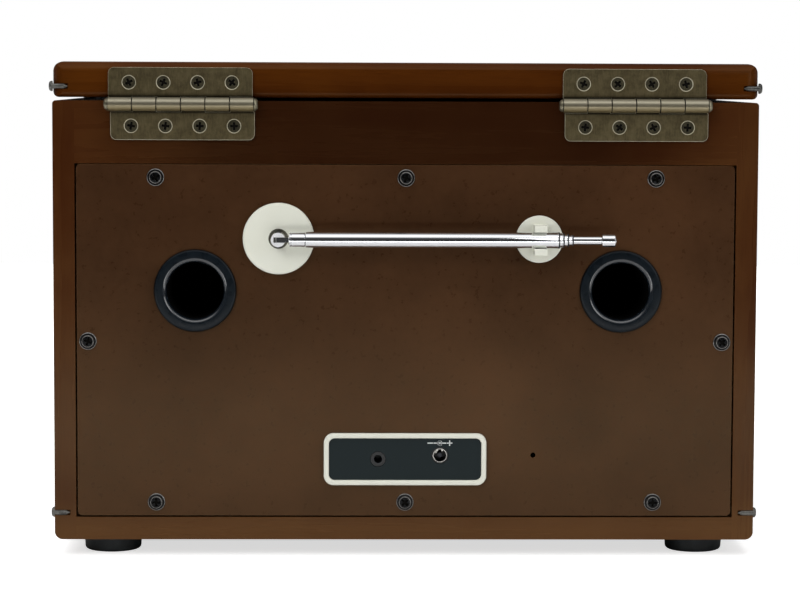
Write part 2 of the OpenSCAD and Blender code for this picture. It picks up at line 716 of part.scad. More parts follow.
// Curved brass strap about the hinge pin, with a foot under the lid and a stop pin below.
module lid_stay() color([0.62, 0.5, 0.25])
  {
    a_stop = lid_open + asin((pin_z - deck_under + 1.6) / stay_r);
    a_low = a_stop + 2.1;
    difference() {
      translate([stay_x - stay_t / 2, pin_y, pin_z]) rotate([90, 0, 90]) linear_extrude(stay_t)
        intersection() {
          difference() {
            circle(stay_r + stay_w / 2, $fn = 128);
            circle(stay_r - stay_w / 2, $fn = 128);
          }
          polygon([[0, 0], [-2 * stay_r, 2 * stay_r * tan(2)], [-2 * stay_r, -2 * stay_r * tan(40)],
            [-2 * stay_r * cos(a_low), -2 * stay_r * sin(a_low)]]);
        }
      box(stay_x - 5, stay_x + 5, front_y, rear_y, lid_z - 1, lid_z + 9);
    }
    difference() {
      box(stay_x - 10, stay_x + stay_t / 2, stay_top_y - 9, stay_top_y + 9, lid_z - 1.2, lid_z);
      for (s = [-1, 1]) translate([stay_x - 6, stay_top_y + s * 5, lid_z - 2])
        cylinder(h = 4, r = 1.2 + seat);
    }
    for (s = [-1, 1]) translate([stay_x - 6, stay_top_y + s * 5, lid_z - 1.9]) {
      cylinder(h = 7, r = 1.2 - seat);
      cylinder(h = 0.7, r = 2.4);
    }
    translate([stay_x - 3, pin_y - stay_r * cos(a_stop), pin_z - stay_r * sin(a_stop)]) rotate([0, 90, 0])
      cylinder(h = 6, r = 1.3);
  }

slot_w = stay_t + 2 * slack;
slot_l = stay_w + 4.2;

module stay_slot(z_a, z_b) {
  box(stay_x - slot_w / 2, stay_x + slot_w / 2, stay_top_y - slot_l / 2 + 0.4,
    stay_top_y + slot_l / 2 + 0.4, z_a, z_b);
}

module stay_guide() color([0.62, 0.5, 0.25])
  difference() {
    translate([stay_x - plate_set, stay_top_y, deck_z]) linear_extrude(1)
      round_rect(plate_w, plate_w * 1.5, 2);
    stay_slot(deck_z - 1, deck_z + 2);
  }

// ---------------------------------------------------------------- deck

deck_screw_at = [for (s = [-1, 1], y = [front_y + wall + 14, y_mid + 20,
  rear_y - wall - 14]) [s * (in_w - batten / 2 - 1), y]];

key_h = 2;
pcb_t = 1.6;
// Keys as [x, y, width, depth].
key_w = 22;
key_d = 11;
key_dx = 14;
key_rows = [62, 42, 24];       // distances of the rows in front of the middle
play_w = 2 * key_dx + key_w;
key_play_at = [key_x, y_mid - key_rows[0], play_w, key_d + 3];
key_stop_at = [key_x - key_dx, y_mid - key_rows[1], key_w, key_d];
key_mode_at = [key_x + key_dx, y_mid - key_rows[1], key_w, key_d];
key_back_at = [key_x - key_dx, y_mid - key_rows[2], key_w, key_d];
key_next_at = [key_x + key_dx, y_mid - key_rows[2], key_w, key_d];
keys = [key_play_at, key_stop_at, key_mode_at, key_back_at, key_next_at];

display_w = 56;
display_d = 26;
display_y = y_mid + 16;

module deck() color([0.1, 0.09, 0.09])
  difference() {
    union() {
      translate([0, (front_y + rear_y) / 2, deck_under]) linear_extrude(deck_t)
        square([2 * in_w - 0.4, cab_d - 2 * wall - 0.4], center = true);
      translate([disc_x, disc_y, well_under])
        cylinder(h = deck_under - well_under + 1, r = well_r + 2.5, $fn = 128);
      for (s = [-1, 1]) translate([disc_x + s * scoop_x, disc_y, well_under])
        cylinder(h = deck_under - well_under + 1, r = scoop_r);
      translate([disc_x, disc_y, deck_z]) difference() {
        cylinder(h = 0.8, r = well_r + 5, $fn = 128);
        translate([0, 0, -1]) cylinder(h = 3, r = well_r + 3.5, $fn = 128);
      }
    }
    translate([disc_x, disc_y, well_z]) cylinder(h = 20, r = well_r, $fn = 128);
    for (s = [-1, 1]) translate([disc_x + s * scoop_x, disc_y, well_z]) cylinder(h = 20, r = scoop_r - 2.5);
    translate([disc_x, disc_y, well_under - 1]) cylinder(h = 10, r = hub_bore);
    box(disc_x - 8.5, disc_x + 8.5, sled_far - 5.3, disc_y - 10, well_under - 1, well_z + 1);
    for (k = keys) translate([k[0], k[1], deck_under - 1]) linear_extrude(deck_t + 2)
      round_rect(k[2] + 2 * slack, k[3] + 2 * slack, 3);
    translate([key_x, display_y, deck_z - 2]) linear_extrude(4)
      round_rect(display_w + 2 * seat, display_d + 2 * seat, 2);
    translate([key_x, display_y, deck_under - 1]) linear_extrude(8)
      round_rect(display_w - 6, display_d - 6, 1);
    stay_slot(deck_under - 1, deck_z + 1);
    for (p = deck_screw_at) translate([p[0], p[1], deck_under - 1]) {
      cylinder(h = 10, r = 1.3 + seat);
      translate([0, 0, deck_t + 1 - 1.6]) cylinder(h = 5, r1 = 1.3 + seat, r2 = 1.3 + seat + 5);
    }
  }

module deck_screws() color([0.5, 0.5, 0.52])
  for (p = deck_screw_at) translate([p[0], p[1], deck_z]) difference() {
    union() {
      translate([0, 0, -1.5]) cylinder(h = 1.5, r1 = 1.3, r2 = 2.8);
      translate([0, 0, -10]) cylinder(h = 9, r = 1.3 - seat);
    }
    cross_cut(2.8, 0.7);
  }

module display_window() color([0.12, 0.2, 0.2])
  difference() {
    translate([key_x, display_y, deck_z - 2]) linear_extrude(2) round_rect(display_w, display_d, 2);
    translate([key_x, display_y, deck_z - 3]) linear_extrude(2) round_rect(display_w - 8, display_d - 8, 1);
  }

// A key: a crowned cap, a skirt that keeps it in, and a plunger down to its switch.
module key(k) color([0.84, 0.83, 0.75]) {
  translate([k[0], k[1], deck_under - 0.6]) linear_extrude(deck_t + 0.6 + key_h - 0.6)
    round_rect(k[2], k[3], 3);
  translate([k[0], k[1], deck_z + key_h - 0.6]) linear_extrude(0.6) round_rect(k[2] - 1.4, k[3] - 1.4, 2.4);
  translate([k[0], k[1], deck_under - 1.8 - slack]) linear_extrude(1.5) round_rect(k[2] + 2, k[3] + 2, 3.5);
  translate([k[0], k[1], key_pcb_z + switch_h])
    cylinder(h = deck_under - key_pcb_z - switch_h - 0.5, r = 2);
}

key_pcb_z = deck_under - 14;
key_pcb_y = y_mid - 43;
key_pcb_w = play_w + 14;
key_pcb_d = 62;
switch_w = 6;
switch_h = 4.5;

// Switch board on four pillars under the deck.
module key_board() color([0.1, 0.3, 0.16]) {
  translate([key_x, key_pcb_y, key_pcb_z - pcb_t]) linear_extrude(pcb_t)
    square([key_pcb_w, key_pcb_d], center = true);
  for (k = keys) translate([k[0] - switch_w / 2, k[1] - switch_w / 2, key_pcb_z])
    cube([switch_w, switch_w, switch_h - key_travel - slack]);
  for (sx = [-1, 1], sy = [-1, 1])
    translate([key_x + sx * (key_pcb_w / 2 - 3), key_pcb_y + sy * (key_pcb_d / 2 - 3), key_pcb_z])
      cylinder(h = deck_under - key_pcb_z, r = 2);
}

// ---------------------------------------------------------------- disc mechanism

screw_x0 = disc_x + rail_dx + 9;
screw_z0 = rail_z - 1;
ch_w = 94;
ch_y0 = sled_far - 15;
ch_y1 = disc_y + 26;
grommet_x = 40;
grommet_r = 5;
grommets = [for (sx = [-1, 1], y = [disc_y - 46, disc_y + 20]) [disc_x + sx * grommet_x, y]];
far_post_y = sled_far - 11;
near_post_y = disc_y - 6;
post_w = 6;
post_t = 2.4;

module mech_chassis() color([0.6, 0.6, 0.6]) {
  difference() {
    box(disc_x - ch_w / 2, disc_x + ch_w / 2, ch_y0, ch_y1, chassis_z - chassis_t, chassis_z);
    box(disc_x - 14, disc_x + 14, sled_far - 5, disc_y - 13, chassis_z - 5, chassis_z + 1);
    for (g = grommets) translate([g[0], g[1], chassis_z - 5]) cylinder(h = 10, r = grommet_r - 2 + eps);
    translate([disc_x, disc_y, chassis_z - 5]) cylinder(h = 10, r = spindle_r + 1.5);
  }
  for (s = [-1, 1], y = [far_post_y, near_post_y]) difference() {
    box(disc_x + s * rail_dx - post_w / 2, disc_x + s * rail_dx + post_w / 2, y - post_t / 2,
      y + post_t / 2, chassis_z, rail_z + 2.5);
    bar_y(y - 3, y + 3, disc_x + s * rail_dx, rail_z, rail_r);
  }
  difference() {
    box(screw_x0 - post_w / 2, screw_x0 + post_w / 2, sled_far - 9, sled_far - 6, chassis_z, screw_z0 + 3);
    bar_y(sled_far - 13, sled_far - 3, screw_x0, screw_z0, 1.5 + fit);
  }
}

module guide_rails() color([0.75, 0.75, 0.77])
  for (s = [-1, 1])
    bar_y(far_post_y - post_t / 2, near_post_y + post_t / 2, disc_x + s * rail_dx, rail_z, rail_r);

// Waisted rubber mounts between the chassis and the deck's well.
module mech_grommets() color([0.1, 0.1, 0.1])
  for (g = grommets) translate([g[0], g[1], 0]) rotate_extrude() polygon([
    [0, chassis_z - chassis_t - 2], [grommet_r, chassis_z - chassis_t - 2], [grommet_r,
      chassis_z - chassis_t],
    [grommet_r - 2, chassis_z - chassis_t], [grommet_r - 2, chassis_z], [grommet_r, chassis_z],
    [grommet_r, well_under], [0, well_under]]);

hub_z = well_z + 1.8;

// Spindle motor under the chassis and the sled motor beside it.
module disc_motors() color([0.65, 0.65, 0.68]) {
  difference() {
    translate([disc_x, disc_y, chassis_z - chassis_t - 8]) cylinder(h = 8, r = 11);
    translate([disc_x, disc_y, chassis_z - chassis_t - 9]) cylinder(h = 12, r = spindle_r + fit);
  }
  difference() {
    union() {
      bar_y(disc_y + 1, disc_y + 17, screw_x0, screw_z0, 3);
      box(screw_x0 - 3, screw_x0 + 3, disc_y + 3, disc_y + 15, chassis_z, screw_z0);
    }
    bar_y(disc_y - 1, disc_y + 5, screw_x0, screw_z0, 1 + fit);
  }
}

// Turntable hub that the disc snaps on, with its spindle.
module spindle_hub() color([0.12, 0.12, 0.13])
  translate([disc_x, disc_y, 0]) {
    rotate_extrude() polygon(concat([[0, hub_z - 2.4], [14.5, hub_z - 2.4], [14.5, hub_z], [7.3,
      hub_z], [7.3, hub_z + 1.4]], arc(6, hub_z + 1.4, 1.3, 0, 80, 4), [[2, hub_z + 3.2], [0,
      hub_z + 3.2]]));
    for (a = [90, 210, 330]) rotate([0, 0, a]) translate([6.6, 0, hub_z + 1.6]) sphere(r = 1.1, $fn = 24);
    translate([0, 0, chassis_z - chassis_t - 7]) cylinder(h = hub_z - chassis_z + 6.5, r = spindle_r);
  }

// Pickup carriage on the two rails, with a nut round the lead screw.
module pickup_sled() color([0.13, 0.13, 0.14])
  difference() {
    union() {
      box(disc_x - 15, disc_x + 15, sled_y - 11, sled_y + 9, rail_z - 2.2, rail_z + 2.4);
      for (s = [-1, 1]) box(disc_x + s * rail_dx - 3.2, disc_x + s * rail_dx + 3.2, sled_y - 9,
        sled_y + 7, rail_z - 2.2, rail_z + 2.4);
      box(disc_x - rail_dx, disc_x + rail_dx, sled_y - 6, sled_y + 4, rail_z - 2.2, rail_z + 2.4);
      box(disc_x - 5.5, disc_x + 5.5, sled_y - 4.5, sled_y + 4.5, rail_z + 2, rail_z + 4.4);
      box(disc_x + rail_dx, disc_x + rail_dx + 12, sled_y - 4, sled_y + 2, rail_z - 3.6, rail_z + 1.6);
    }
    for (s = [-1, 1]) bar_y(sled_y - 20, sled_y + 20, disc_x + s * rail_dx, rail_z, rail_r + fit);
    bar_y(sled_y - 20, sled_y + 20, screw_x0, screw_z0, 1.5 + fit);
    translate([disc_x, sled_y, rail_z + 3.4]) cylinder(h = 3, r = 3.4 + seat);
  }

module pickup_lens() color([0.5, 0.55, 0.75])
  translate([disc_x, sled_y, rail_z + 3.4]) rotate_extrude()
    polygon(concat([[0, 0], [3.4, 0], [3.4, 1.2]], [for (q = arc(0, -2.6, 4.6, 55, 90, 5)) [max(0,
    q[0]), q[1]]]));

// Lead screw between the sled motor and a bearing on the chassis.
module lead_screw() color([0.8, 0.8, 0.82]) {
  bar_y(sled_far - 8.6, disc_y + 0.7, screw_x0, screw_z0, 1.5);
  bar_y(disc_y + 0.6, disc_y + 4, screw_x0, screw_z0, 1);
}

// ---------------------------------------------------------------- front

// Grille window: slots stacked between plain bars.
module grille_window() {
  n = 4;
  slot_h = (grille_h - (n - 1) * bar_w) / n;
  for (i = [0:n - 1]) translate([0, -grille_h / 2 + slot_h / 2 + i * (slot_h + bar_w)])
    round_rect(grille_w, slot_h, 6);
}

control_at = [[0, dial_z], [-knob_x, knob_z], [knob_x, knob_z]];
shaft_r = 3;
bush_r = 4.5;

module front_panel() color([0.26, 0.15, 0.08])
  difference() {
    upright(baffle_y, baffle_back) translate([0, (floor_z + front_open_z) / 2])
      round_rect(2 * (in_w - panel_gap), front_open_z - floor_z - 2 * panel_gap, 1);
    for (s = [-1, 1]) on_front(s * speaker_x, z0 + speaker_z, baffle_back + 1) linear_extrude(front_t + 2)
      grille_window();
    for (c = control_at) on_front(c[0], z0 + c[1], baffle_back + 1)
      cylinder(h = front_t + 2, r = bush_r + seat);
    on_front(0, z0 + knob_z, baffle_back + 1) cylinder(h = front_t + 2, r = 2 + seat);
  }

cloth_t = 1;

module grille_cloths() color([0.62, 0.52, 0.36])
  for (s = [-1, 1]) on_front(s * speaker_x, z0 + speaker_z, baffle_back + cloth_t) linear_extrude(cloth_t)
    round_rect(grille_w + 2 * cloth_lap, grille_h + 2 * cloth_lap, 6);

driver_k = driver_r / 38.5;    // size of the loudspeaker against the one drawn
basket_h = 18;
magnet_r = 24 * driver_k;

// Pressed basket with open legs, and the magnet behind it.
module driver_frames() color([0.2, 0.2, 0.21])
  for (s = [-1, 1]) on_front(s * speaker_x, z0 + speaker_z, baffle_back + cloth_t) rotate([180, 0, 0]) {
    difference() {
      union() {
        cylinder(h = 1.5, r = driver_r);
        translate([0, 0, 1.4]) cylinder(h = basket_h, r1 = driver_r - 3, r2 = 17 * driver_k);
      }
      translate([0, 0, -eps]) cylinder(h = basket_h + 0.2, r1 = driver_r - 4.2, r2 = 16 * driver_k);
      for (a = [0:90:270]) rotate([0, 0, a + 45]) translate([12 * driver_k, -9 * driver_k, 4])
        cube([30 * driver_k, 18 * driver_k, 11]);
    }
    translate([0, 0, basket_h]) cylinder(h = 2, r = magnet_r - 5);
    translate([0, 0, basket_h + 2]) cylinder(h = 10, r = magnet_r);
    translate([0, 0, basket_h + 12]) cylinder(h = 2.5, r = magnet_r - 4);
  }

// Cone with its dust cap, rolled surround and voice coil former.
module driver_cones() color([0.1, 0.1, 0.11])
  for (s = [-1, 1]) on_front(s * speaker_x, z0 + speaker_z, baffle_back + cloth_t) rotate([180, 0, 0])
    rotate_extrude() polygon([for (q = [[0, 6.5], [6, 8], [10, 11.6], [11, 12], [28, 1.6], [31, 0.5],
      [33, 0.5],
      [33, 1.1], [31.2, 1.1], [28.4, 2.6], [11.4, 13], [11.4, 16], [10.6, 16], [10.6, 13], [6, 9], [0,
        7.5]])
      [q[0] * driver_k, q[1]]]);

dial_t = 1.5;

module dial_plate() color([0.87, 0.84, 0.72])
  on_front(0, z0 + dial_z) difference() {
    cylinder(h = dial_t, r = dial_r - 3.05, $fn = 96);
    translate([0, 0, -1]) cylinder(h = dial_t + 2, r = bush_r + seat);
  }

// Turned rim round the dial.
module dial_bezel() color([0.55, 0.45, 0.25])
  on_front(0, z0 + dial_z) rotate_extrude($fn = 96)
    polygon(concat([[dial_r - 3, 0], [dial_r, 0], [dial_r, 1.5]], arc(dial_r - 1.6, 1.8, 1.6, 0, 180,
    8), [[dial_r - 3.2, 1.6], [dial_r - 3, 1.5]]));

module power_lamp() color([0.8, 0.15, 0.1])
  on_front(0, z0 + knob_z, baffle_back) rotate_extrude()
    polygon(concat([[0, -2], [2.8, -2], [2.8, 0], [2, 0]], arc(0, front_t - 0.6, 2, 0, 90, 5)));

// Two potentiometers and a rotary switch behind the panel, with their bushings.
module control_pots() color([0.55, 0.55, 0.57])
  for (c = control_at) on_front(c[0], z0 + c[1], baffle_back) difference() {
    union() {
      cylinder(h = front_t + (c[0] == 0 ? dial_t + 1.2 : 1.2), r = bush_r);
      translate([0, 0, -10]) cylinder(h = 10, r = 9);
    }
    translate([0, 0, -8]) cylinder(h = 40, r = shaft_r + fit);
  }

// A turned knob on its shaft; the grip has shallow flutes.
module knob(c, r, low, high) on_front(c[0], z0 + c[1]) {
  difference() {
    rotate_extrude() polygon(concat([[shaft_r - 1, low], [r - 0.5, low], [r, low + 0.8], [r - 0.8,
      high - 1.6]], arc(r - 2.4, high - 1.6, 1.6, 0, 90, 5), [[r - 5, high], [r - 5.6, high - 0.6], [0,
      high - 0.6], [0, low + 5], [shaft_r - 1, low + 5]]));
    for (a = [0:18:342]) rotate([0, 0, a + 9]) translate([r + 0.1, 0, low + 1.7])
      cylinder(h = high - low, r = 1.05);
  }
  translate([0, 0, -front_t - 7]) cylinder(h = front_t + 7 + low + 5, r = shaft_r);
}

face_h = knob_h + front_recess;

module tuning_knob() color([0.85, 0.84, 0.75]) knob(control_at[0], tune_r, 4.4, face_h);

module volume_knob() color([0.85, 0.84, 0.75]) knob(control_at[1], knob_r, 1.6, face_h);

module function_knob() color([0.85, 0.84, 0.75]) knob(control_at[2], knob_r, 1.6, face_h);

// Brass pointer clamped under the tuning knob.
module tuning_pointer() color([0.7, 0.55, 0.25])
  on_front(0, z0 + dial_z) difference() {
    union() {
      translate([0, 0, 3.2]) cylinder(h = 1.2, r = tune_r - 3);
      translate([-1, 0, 3.2]) cube([2, dial_r - 9, 0.9]);
      translate([0, dial_r - 9, 3.2]) cylinder(h = 0.9, r = 1);
    }
    translate([0, 0, 0]) cylinder(h = 10, r = shaft_r);
  }

// ---------------------------------------------------------------- electronics

board_z = floor_z + 8;
board_w = 120;
board_d = 96;
board_y = y_mid + 18;
sink_w = 31.6;
sink_d = 30;
sink_h = 22.4;
fin_pitch = 5;
fin_t = 1.6;
sink_x = -44;
sink_y = board_y + 2;

module circuit_board() color([0.1, 0.32, 0.16]) {
  box(-board_w / 2, board_w / 2, board_y - board_d / 2, board_y + board_d / 2, board_z, board_z + pcb_t);
  for (sx = [-1, 1], sy = [-1, 1])
    translate([sx * (board_w / 2 - 6), board_y + sy * (board_d / 2 - 6), floor_z])
    cylinder(h = board_z - floor_z, r = 3);
  // finned heat sink
  for (i = [0:6]) box(sink_x + i * fin_pitch, sink_x + i * fin_pitch + fin_t, sink_y, sink_y + sink_d,
    board_z + pcb_t, board_z + pcb_t + sink_h);
  box(sink_x, sink_x + sink_w, sink_y, sink_y + sink_d, board_z + pcb_t - 0.1, board_z + pcb_t + 3.4);
  // tuning capacitor and electrolytic capacitors
  box(10, 32, y_mid - 10, y_mid + 12, board_z + pcb_t - 0.1, board_z + 16);
  for (i = [0:2]) translate([14 + i * 14, board_y + 22, board_z + pcb_t - 0.1]) cylinder(h = 18, r = 5);
}

cabinet();
rear_panel();
rear_panel_screws();
bass_port(port_shift + port_x);  // bass_port_left
bass_port(port_shift - port_x);  // bass_port_right
aerial_disc();
aerial_clip();
terminal_frame();
terminal_plate();
aux_socket();
dc_socket();
feet();
body_hinge_leaves();
hinge_pins();
body_hinge_screws();
body_edge_tacks();
deck();
deck_screws();
mech_chassis();
mech_grommets();
guide_rails();
disc_motors();
display_window();
stay_guide();
key_board();
front_panel();
grille_cloths();
driver_frames();
driver_cones();
dial_plate();
dial_bezel();
power_lamp();
control_pots();
circuit_board();
lid();
lid_hinge_leaves();
lid_hinge_screws();
lid_edge_tacks();
lid_stay();
lid_pads();
aerial_stud();
aerial_tube_1();
aerial_stage(2);  // aerial_tube_2
aerial_stage(3);  // aerial_tube_3
aerial_stage(4);  // aerial_tube_4
aerial_tip_rod();
tuning_knob();
tuning_pointer();
volume_knob();
function_knob();
spindle_hub();
pickup_sled();
pickup_lens();
lead_screw();
key(key_play_at);  // key_play
key(key_stop_at);  // key_stop
key(key_mode_at);  // key_mode
key(key_back_at);  // key_back
key(key_next_at);  // key_next
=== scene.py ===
import math

import bmesh
import bpy
from mathutils import Matrix, Vector


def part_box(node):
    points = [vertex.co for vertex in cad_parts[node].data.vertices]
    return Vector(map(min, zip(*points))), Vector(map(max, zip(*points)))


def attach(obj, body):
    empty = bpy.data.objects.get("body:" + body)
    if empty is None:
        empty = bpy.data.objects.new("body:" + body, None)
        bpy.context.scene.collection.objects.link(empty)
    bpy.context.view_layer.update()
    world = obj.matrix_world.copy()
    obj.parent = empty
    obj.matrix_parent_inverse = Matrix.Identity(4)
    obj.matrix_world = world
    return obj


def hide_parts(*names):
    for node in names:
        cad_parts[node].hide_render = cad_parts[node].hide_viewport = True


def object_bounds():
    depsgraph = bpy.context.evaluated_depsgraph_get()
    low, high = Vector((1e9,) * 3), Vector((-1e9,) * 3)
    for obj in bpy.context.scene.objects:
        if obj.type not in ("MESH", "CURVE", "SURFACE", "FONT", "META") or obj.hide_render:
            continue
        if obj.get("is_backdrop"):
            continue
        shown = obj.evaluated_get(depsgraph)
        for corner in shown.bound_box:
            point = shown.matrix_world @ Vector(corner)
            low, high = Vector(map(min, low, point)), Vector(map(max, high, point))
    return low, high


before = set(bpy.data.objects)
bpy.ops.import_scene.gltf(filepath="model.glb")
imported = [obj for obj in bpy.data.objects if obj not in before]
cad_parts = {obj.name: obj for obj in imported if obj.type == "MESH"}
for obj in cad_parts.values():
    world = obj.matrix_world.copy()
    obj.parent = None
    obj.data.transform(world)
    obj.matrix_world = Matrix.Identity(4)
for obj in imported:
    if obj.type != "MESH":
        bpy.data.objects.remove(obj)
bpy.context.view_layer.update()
scene = bpy.context.scene
scene.view_settings.view_transform = "Standard"

# ---------------------------------------------------------------- camera
# A long lens 1.2 m behind the cabinet at the height of its lid, tipped down
# a little, so that the back shows nearly square on.
cam_data = bpy.data.cameras.new("camera")
film_width, focal_length = 36, 121.94  # mm
cam_data.sensor_width = film_width
cam_data.lens = focal_length
cam_data.clip_end = 60
camera = bpy.data.objects.new("camera", cam_data)
scene.collection.objects.link(camera)
eye = (0.0262, 1.317, 0.214)
yaw, pitch, roll = math.radians(-1.14), math.radians(4.79), math.radians(0.23)
look = Vector((math.sin(yaw) * math.cos(pitch), -math.cos(yaw) * math.cos(pitch), -math.sin(pitch)))
side = look.cross(Vector((0, 0, 1))).normalized()
up = side.cross(look)
side, up = (math.cos(roll) * side + math.sin(roll) * up, math.cos(roll) * up - math.sin(roll) * side)
camera.matrix_world = (Matrix.Translation(eye)
                       @ Matrix((side, up, -look)).transposed().to_4x4())
scene.camera = camera

# ---------------------------------------------------------------- cabinet
# A box of stained hardwood boards, mitred and glued, under a thin lacquer.
# The side boards' grain stands upright, the rails' and the bottom's lies along
# them. Hands have rubbed the arrises a little paler.


def linear(code):
    """An sRGB hex colour as linear red, green, blue and alpha."""
    parts = [int(code[i:i + 2], 16) / 255 for i in (1, 3, 5)]
    return [c / 12.92 if c <= 0.04045 else ((c + 0.055) / 1.055) ** 2.4 for c in parts] + [1.0]


def put(tree, kind, settings=None, inputs=None):
    """Adds a node, sets its properties, and sets or links its inputs."""
    node = tree.nodes.new(kind)
    for key, value in (settings or {}).items():
        setattr(node, key, value)
    for key, value in (inputs or {}).items():
        if isinstance(value, bpy.types.NodeSocket):
            tree.links.new(value, node.inputs[key])
        else:
            node.inputs[key].default_value = value
    return node


def material(name, colour, roughness, metallic=0.0, **sockets):
    """A material with its shader; the caller adds what varies over the surface."""
    made = bpy.data.materials.new(name)
    made.use_nodes = True
    made.diffuse_color = linear(colour)
    shader = made.node_tree.nodes["Principled BSDF"]
    shader.inputs["Base Color"].default_value = linear(colour)
    shader.inputs["Roughness"].default_value = roughness
    shader.inputs["Metallic"].default_value = metallic
    for key, value in sockets.items():
        shader.inputs[key.replace("_", " ")].default_value = value
    return made, made.node_tree, shader


def stained_wood(name, dark, mid, pale, upright_from, rail_from, gloss):
    """Stained and lacquered hardwood. Grain bands are 9 mm wide and 20 times as long, pores
    0.5 mm wide and 10 mm long, and the stain is blotchy over about 60 mm. Beyond
    upright_from, to either side of the middle, the grain stands upright. Above rail_from the
    rails take painted shade, darker than the side boards, and the bottom board takes
    painted light, paler."""
    lengthwise = 0.05
    rail_ends, rail_full, rail_shade_share = 0.142, 0.085, 0.68
    bottom_top, bottom_full, bottom_light_share = 0.026, 0.012, 0.55
    made, tree, shader = material(name, mid, 0.3, Specular_IOR_Level=gloss,
                                  Specular_Tint=linear("#ffedc0"))
    place = put(tree, "ShaderNodeTexCoord").outputs["Object"]
    across = put(tree, "ShaderNodeSeparateXYZ", inputs={0: place}).outputs[0]
    outward = put(tree, "ShaderNodeMath", {"operation": "ABSOLUTE"}, {0: across})
    side_board = put(tree, "ShaderNodeMath", {"operation": "GREATER_THAN"},
                     {0: outward.outputs[0], 1: upright_from})
    lying = put(tree, "ShaderNodeMapping", inputs={"Vector": place, "Scale": (lengthwise, 1, 1)})
    standing = put(tree, "ShaderNodeMapping", inputs={"Vector": place, "Scale": (1, 1, lengthwise)})
    along = put(tree, "ShaderNodeMix", {"data_type": "VECTOR"},
                {0: side_board.outputs[0], 4: lying.outputs[0], 5: standing.outputs[0]}).outputs[1]
    grain = put(tree, "ShaderNodeTexNoise", inputs={"Vector": along, "Scale": 110, "Detail": 5,
                "Roughness": 0.62, "Distortion": 0.35}).outputs[0]
    blotch = put(tree, "ShaderNodeTexNoise", inputs={"Vector": place, "Scale": 16, "Detail": 3})
    pores = put(tree, "ShaderNodeTexNoise", inputs={"Vector": along, "Scale": 1900, "Detail": 2})
    fade = put(tree, "ShaderNodeMapRange", inputs={0: grain, 1: 0.3, 2: 0.72})
    streak = put(tree, "ShaderNodeMix", {"data_type": "RGBA"},
                 {0: fade.outputs[0], 6: linear(dark), 7: linear(mid)})
    share = put(tree, "ShaderNodeMapRange", inputs={0: blotch.outputs[0], 1: 0.42, 2: 0.72, 4: 0.5})
    stain = put(tree, "ShaderNodeMix", {"data_type": "RGBA"},
                {0: share.outputs[0], 6: streak.outputs[2], 7: linear(pale)})
    pore = put(tree, "ShaderNodeMapRange", inputs={0: pores.outputs[0], 1: 0.5, 2: 0.66, 4: 0.3})
    colour = put(tree, "ShaderNodeMix", {"data_type": "RGBA"},
                 {0: pore.outputs[0], 6: stain.outputs[2], 7: linear(dark)})
    level = put(tree, "ShaderNodeSeparateXYZ", inputs={0: place}).outputs[2]
    between = put(tree, "ShaderNodeMapRange", inputs={0: outward.outputs[0], 1: rail_ends, 2: rail_full})
    is_rail = put(tree, "ShaderNodeMath", {"operation": "GREATER_THAN"}, {0: level, 1: rail_from})
    rail = put(tree, "ShaderNodeMath", {"operation": "MULTIPLY"},
               {0: is_rail.outputs[0], 1: between.outputs[0]})
    # painted shade: the top rail, under the lid, is darkened towards #1d0a03
    rail_shade = put(tree, "ShaderNodeMath", {"operation": "MULTIPLY"}, {0: rail.outputs[0], 1: rail_shade_share})
    rail_shaded = put(tree, "ShaderNodeMix", {"data_type": "RGBA"},
                 {0: rail_shade.outputs[0], 6: colour.outputs[2], 7: linear("#1d0a03")})
    # painted light: the bottom board is lifted paler, as if lit by the bright floor
    bottom_light = put(tree, "ShaderNodeMapRange", inputs={0: level, 1: bottom_top, 2: bottom_full,
                 4: bottom_light_share})
    painted_light_tone = put(tree, "ShaderNodeMix", {"data_type": "RGBA"},
                     {0: bottom_light.outputs[0], 6: rail_shaded.outputs[2], 7: linear(pale)})
    tree.links.new(painted_light_tone.outputs[2], shader.inputs["Base Color"])
    sheen = put(tree, "ShaderNodeMapRange", inputs={0: grain, 1: 0.3, 2: 0.7, 3: 0.22, 4: 0.32})
    tree.links.new(sheen.outputs[0], shader.inputs["Roughness"])
    relief = put(tree, "ShaderNodeBump", inputs={"Strength": 0.4, "Distance": 0.00005,
                 "Height": pores.outputs[0]})
    tree.links.new(relief.outputs[0], shader.inputs["Normal"])
    return made


def plain_mesh(draft):
    """The plain mesh of what a draft object shows. The draft is dropped."""
    ready = bpy.data.meshes.new_from_object(draft.evaluated_get(bpy.context.evaluated_depsgraph_get()))
    bpy.data.objects.remove(draft)
    return ready


def stand_piece(name, mesh, body):
    """Stands a finished mesh on its body."""
    piece = bpy.data.objects.new(name, mesh)
    scene.collection.objects.link(piece)
    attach(piece, body)
    return piece


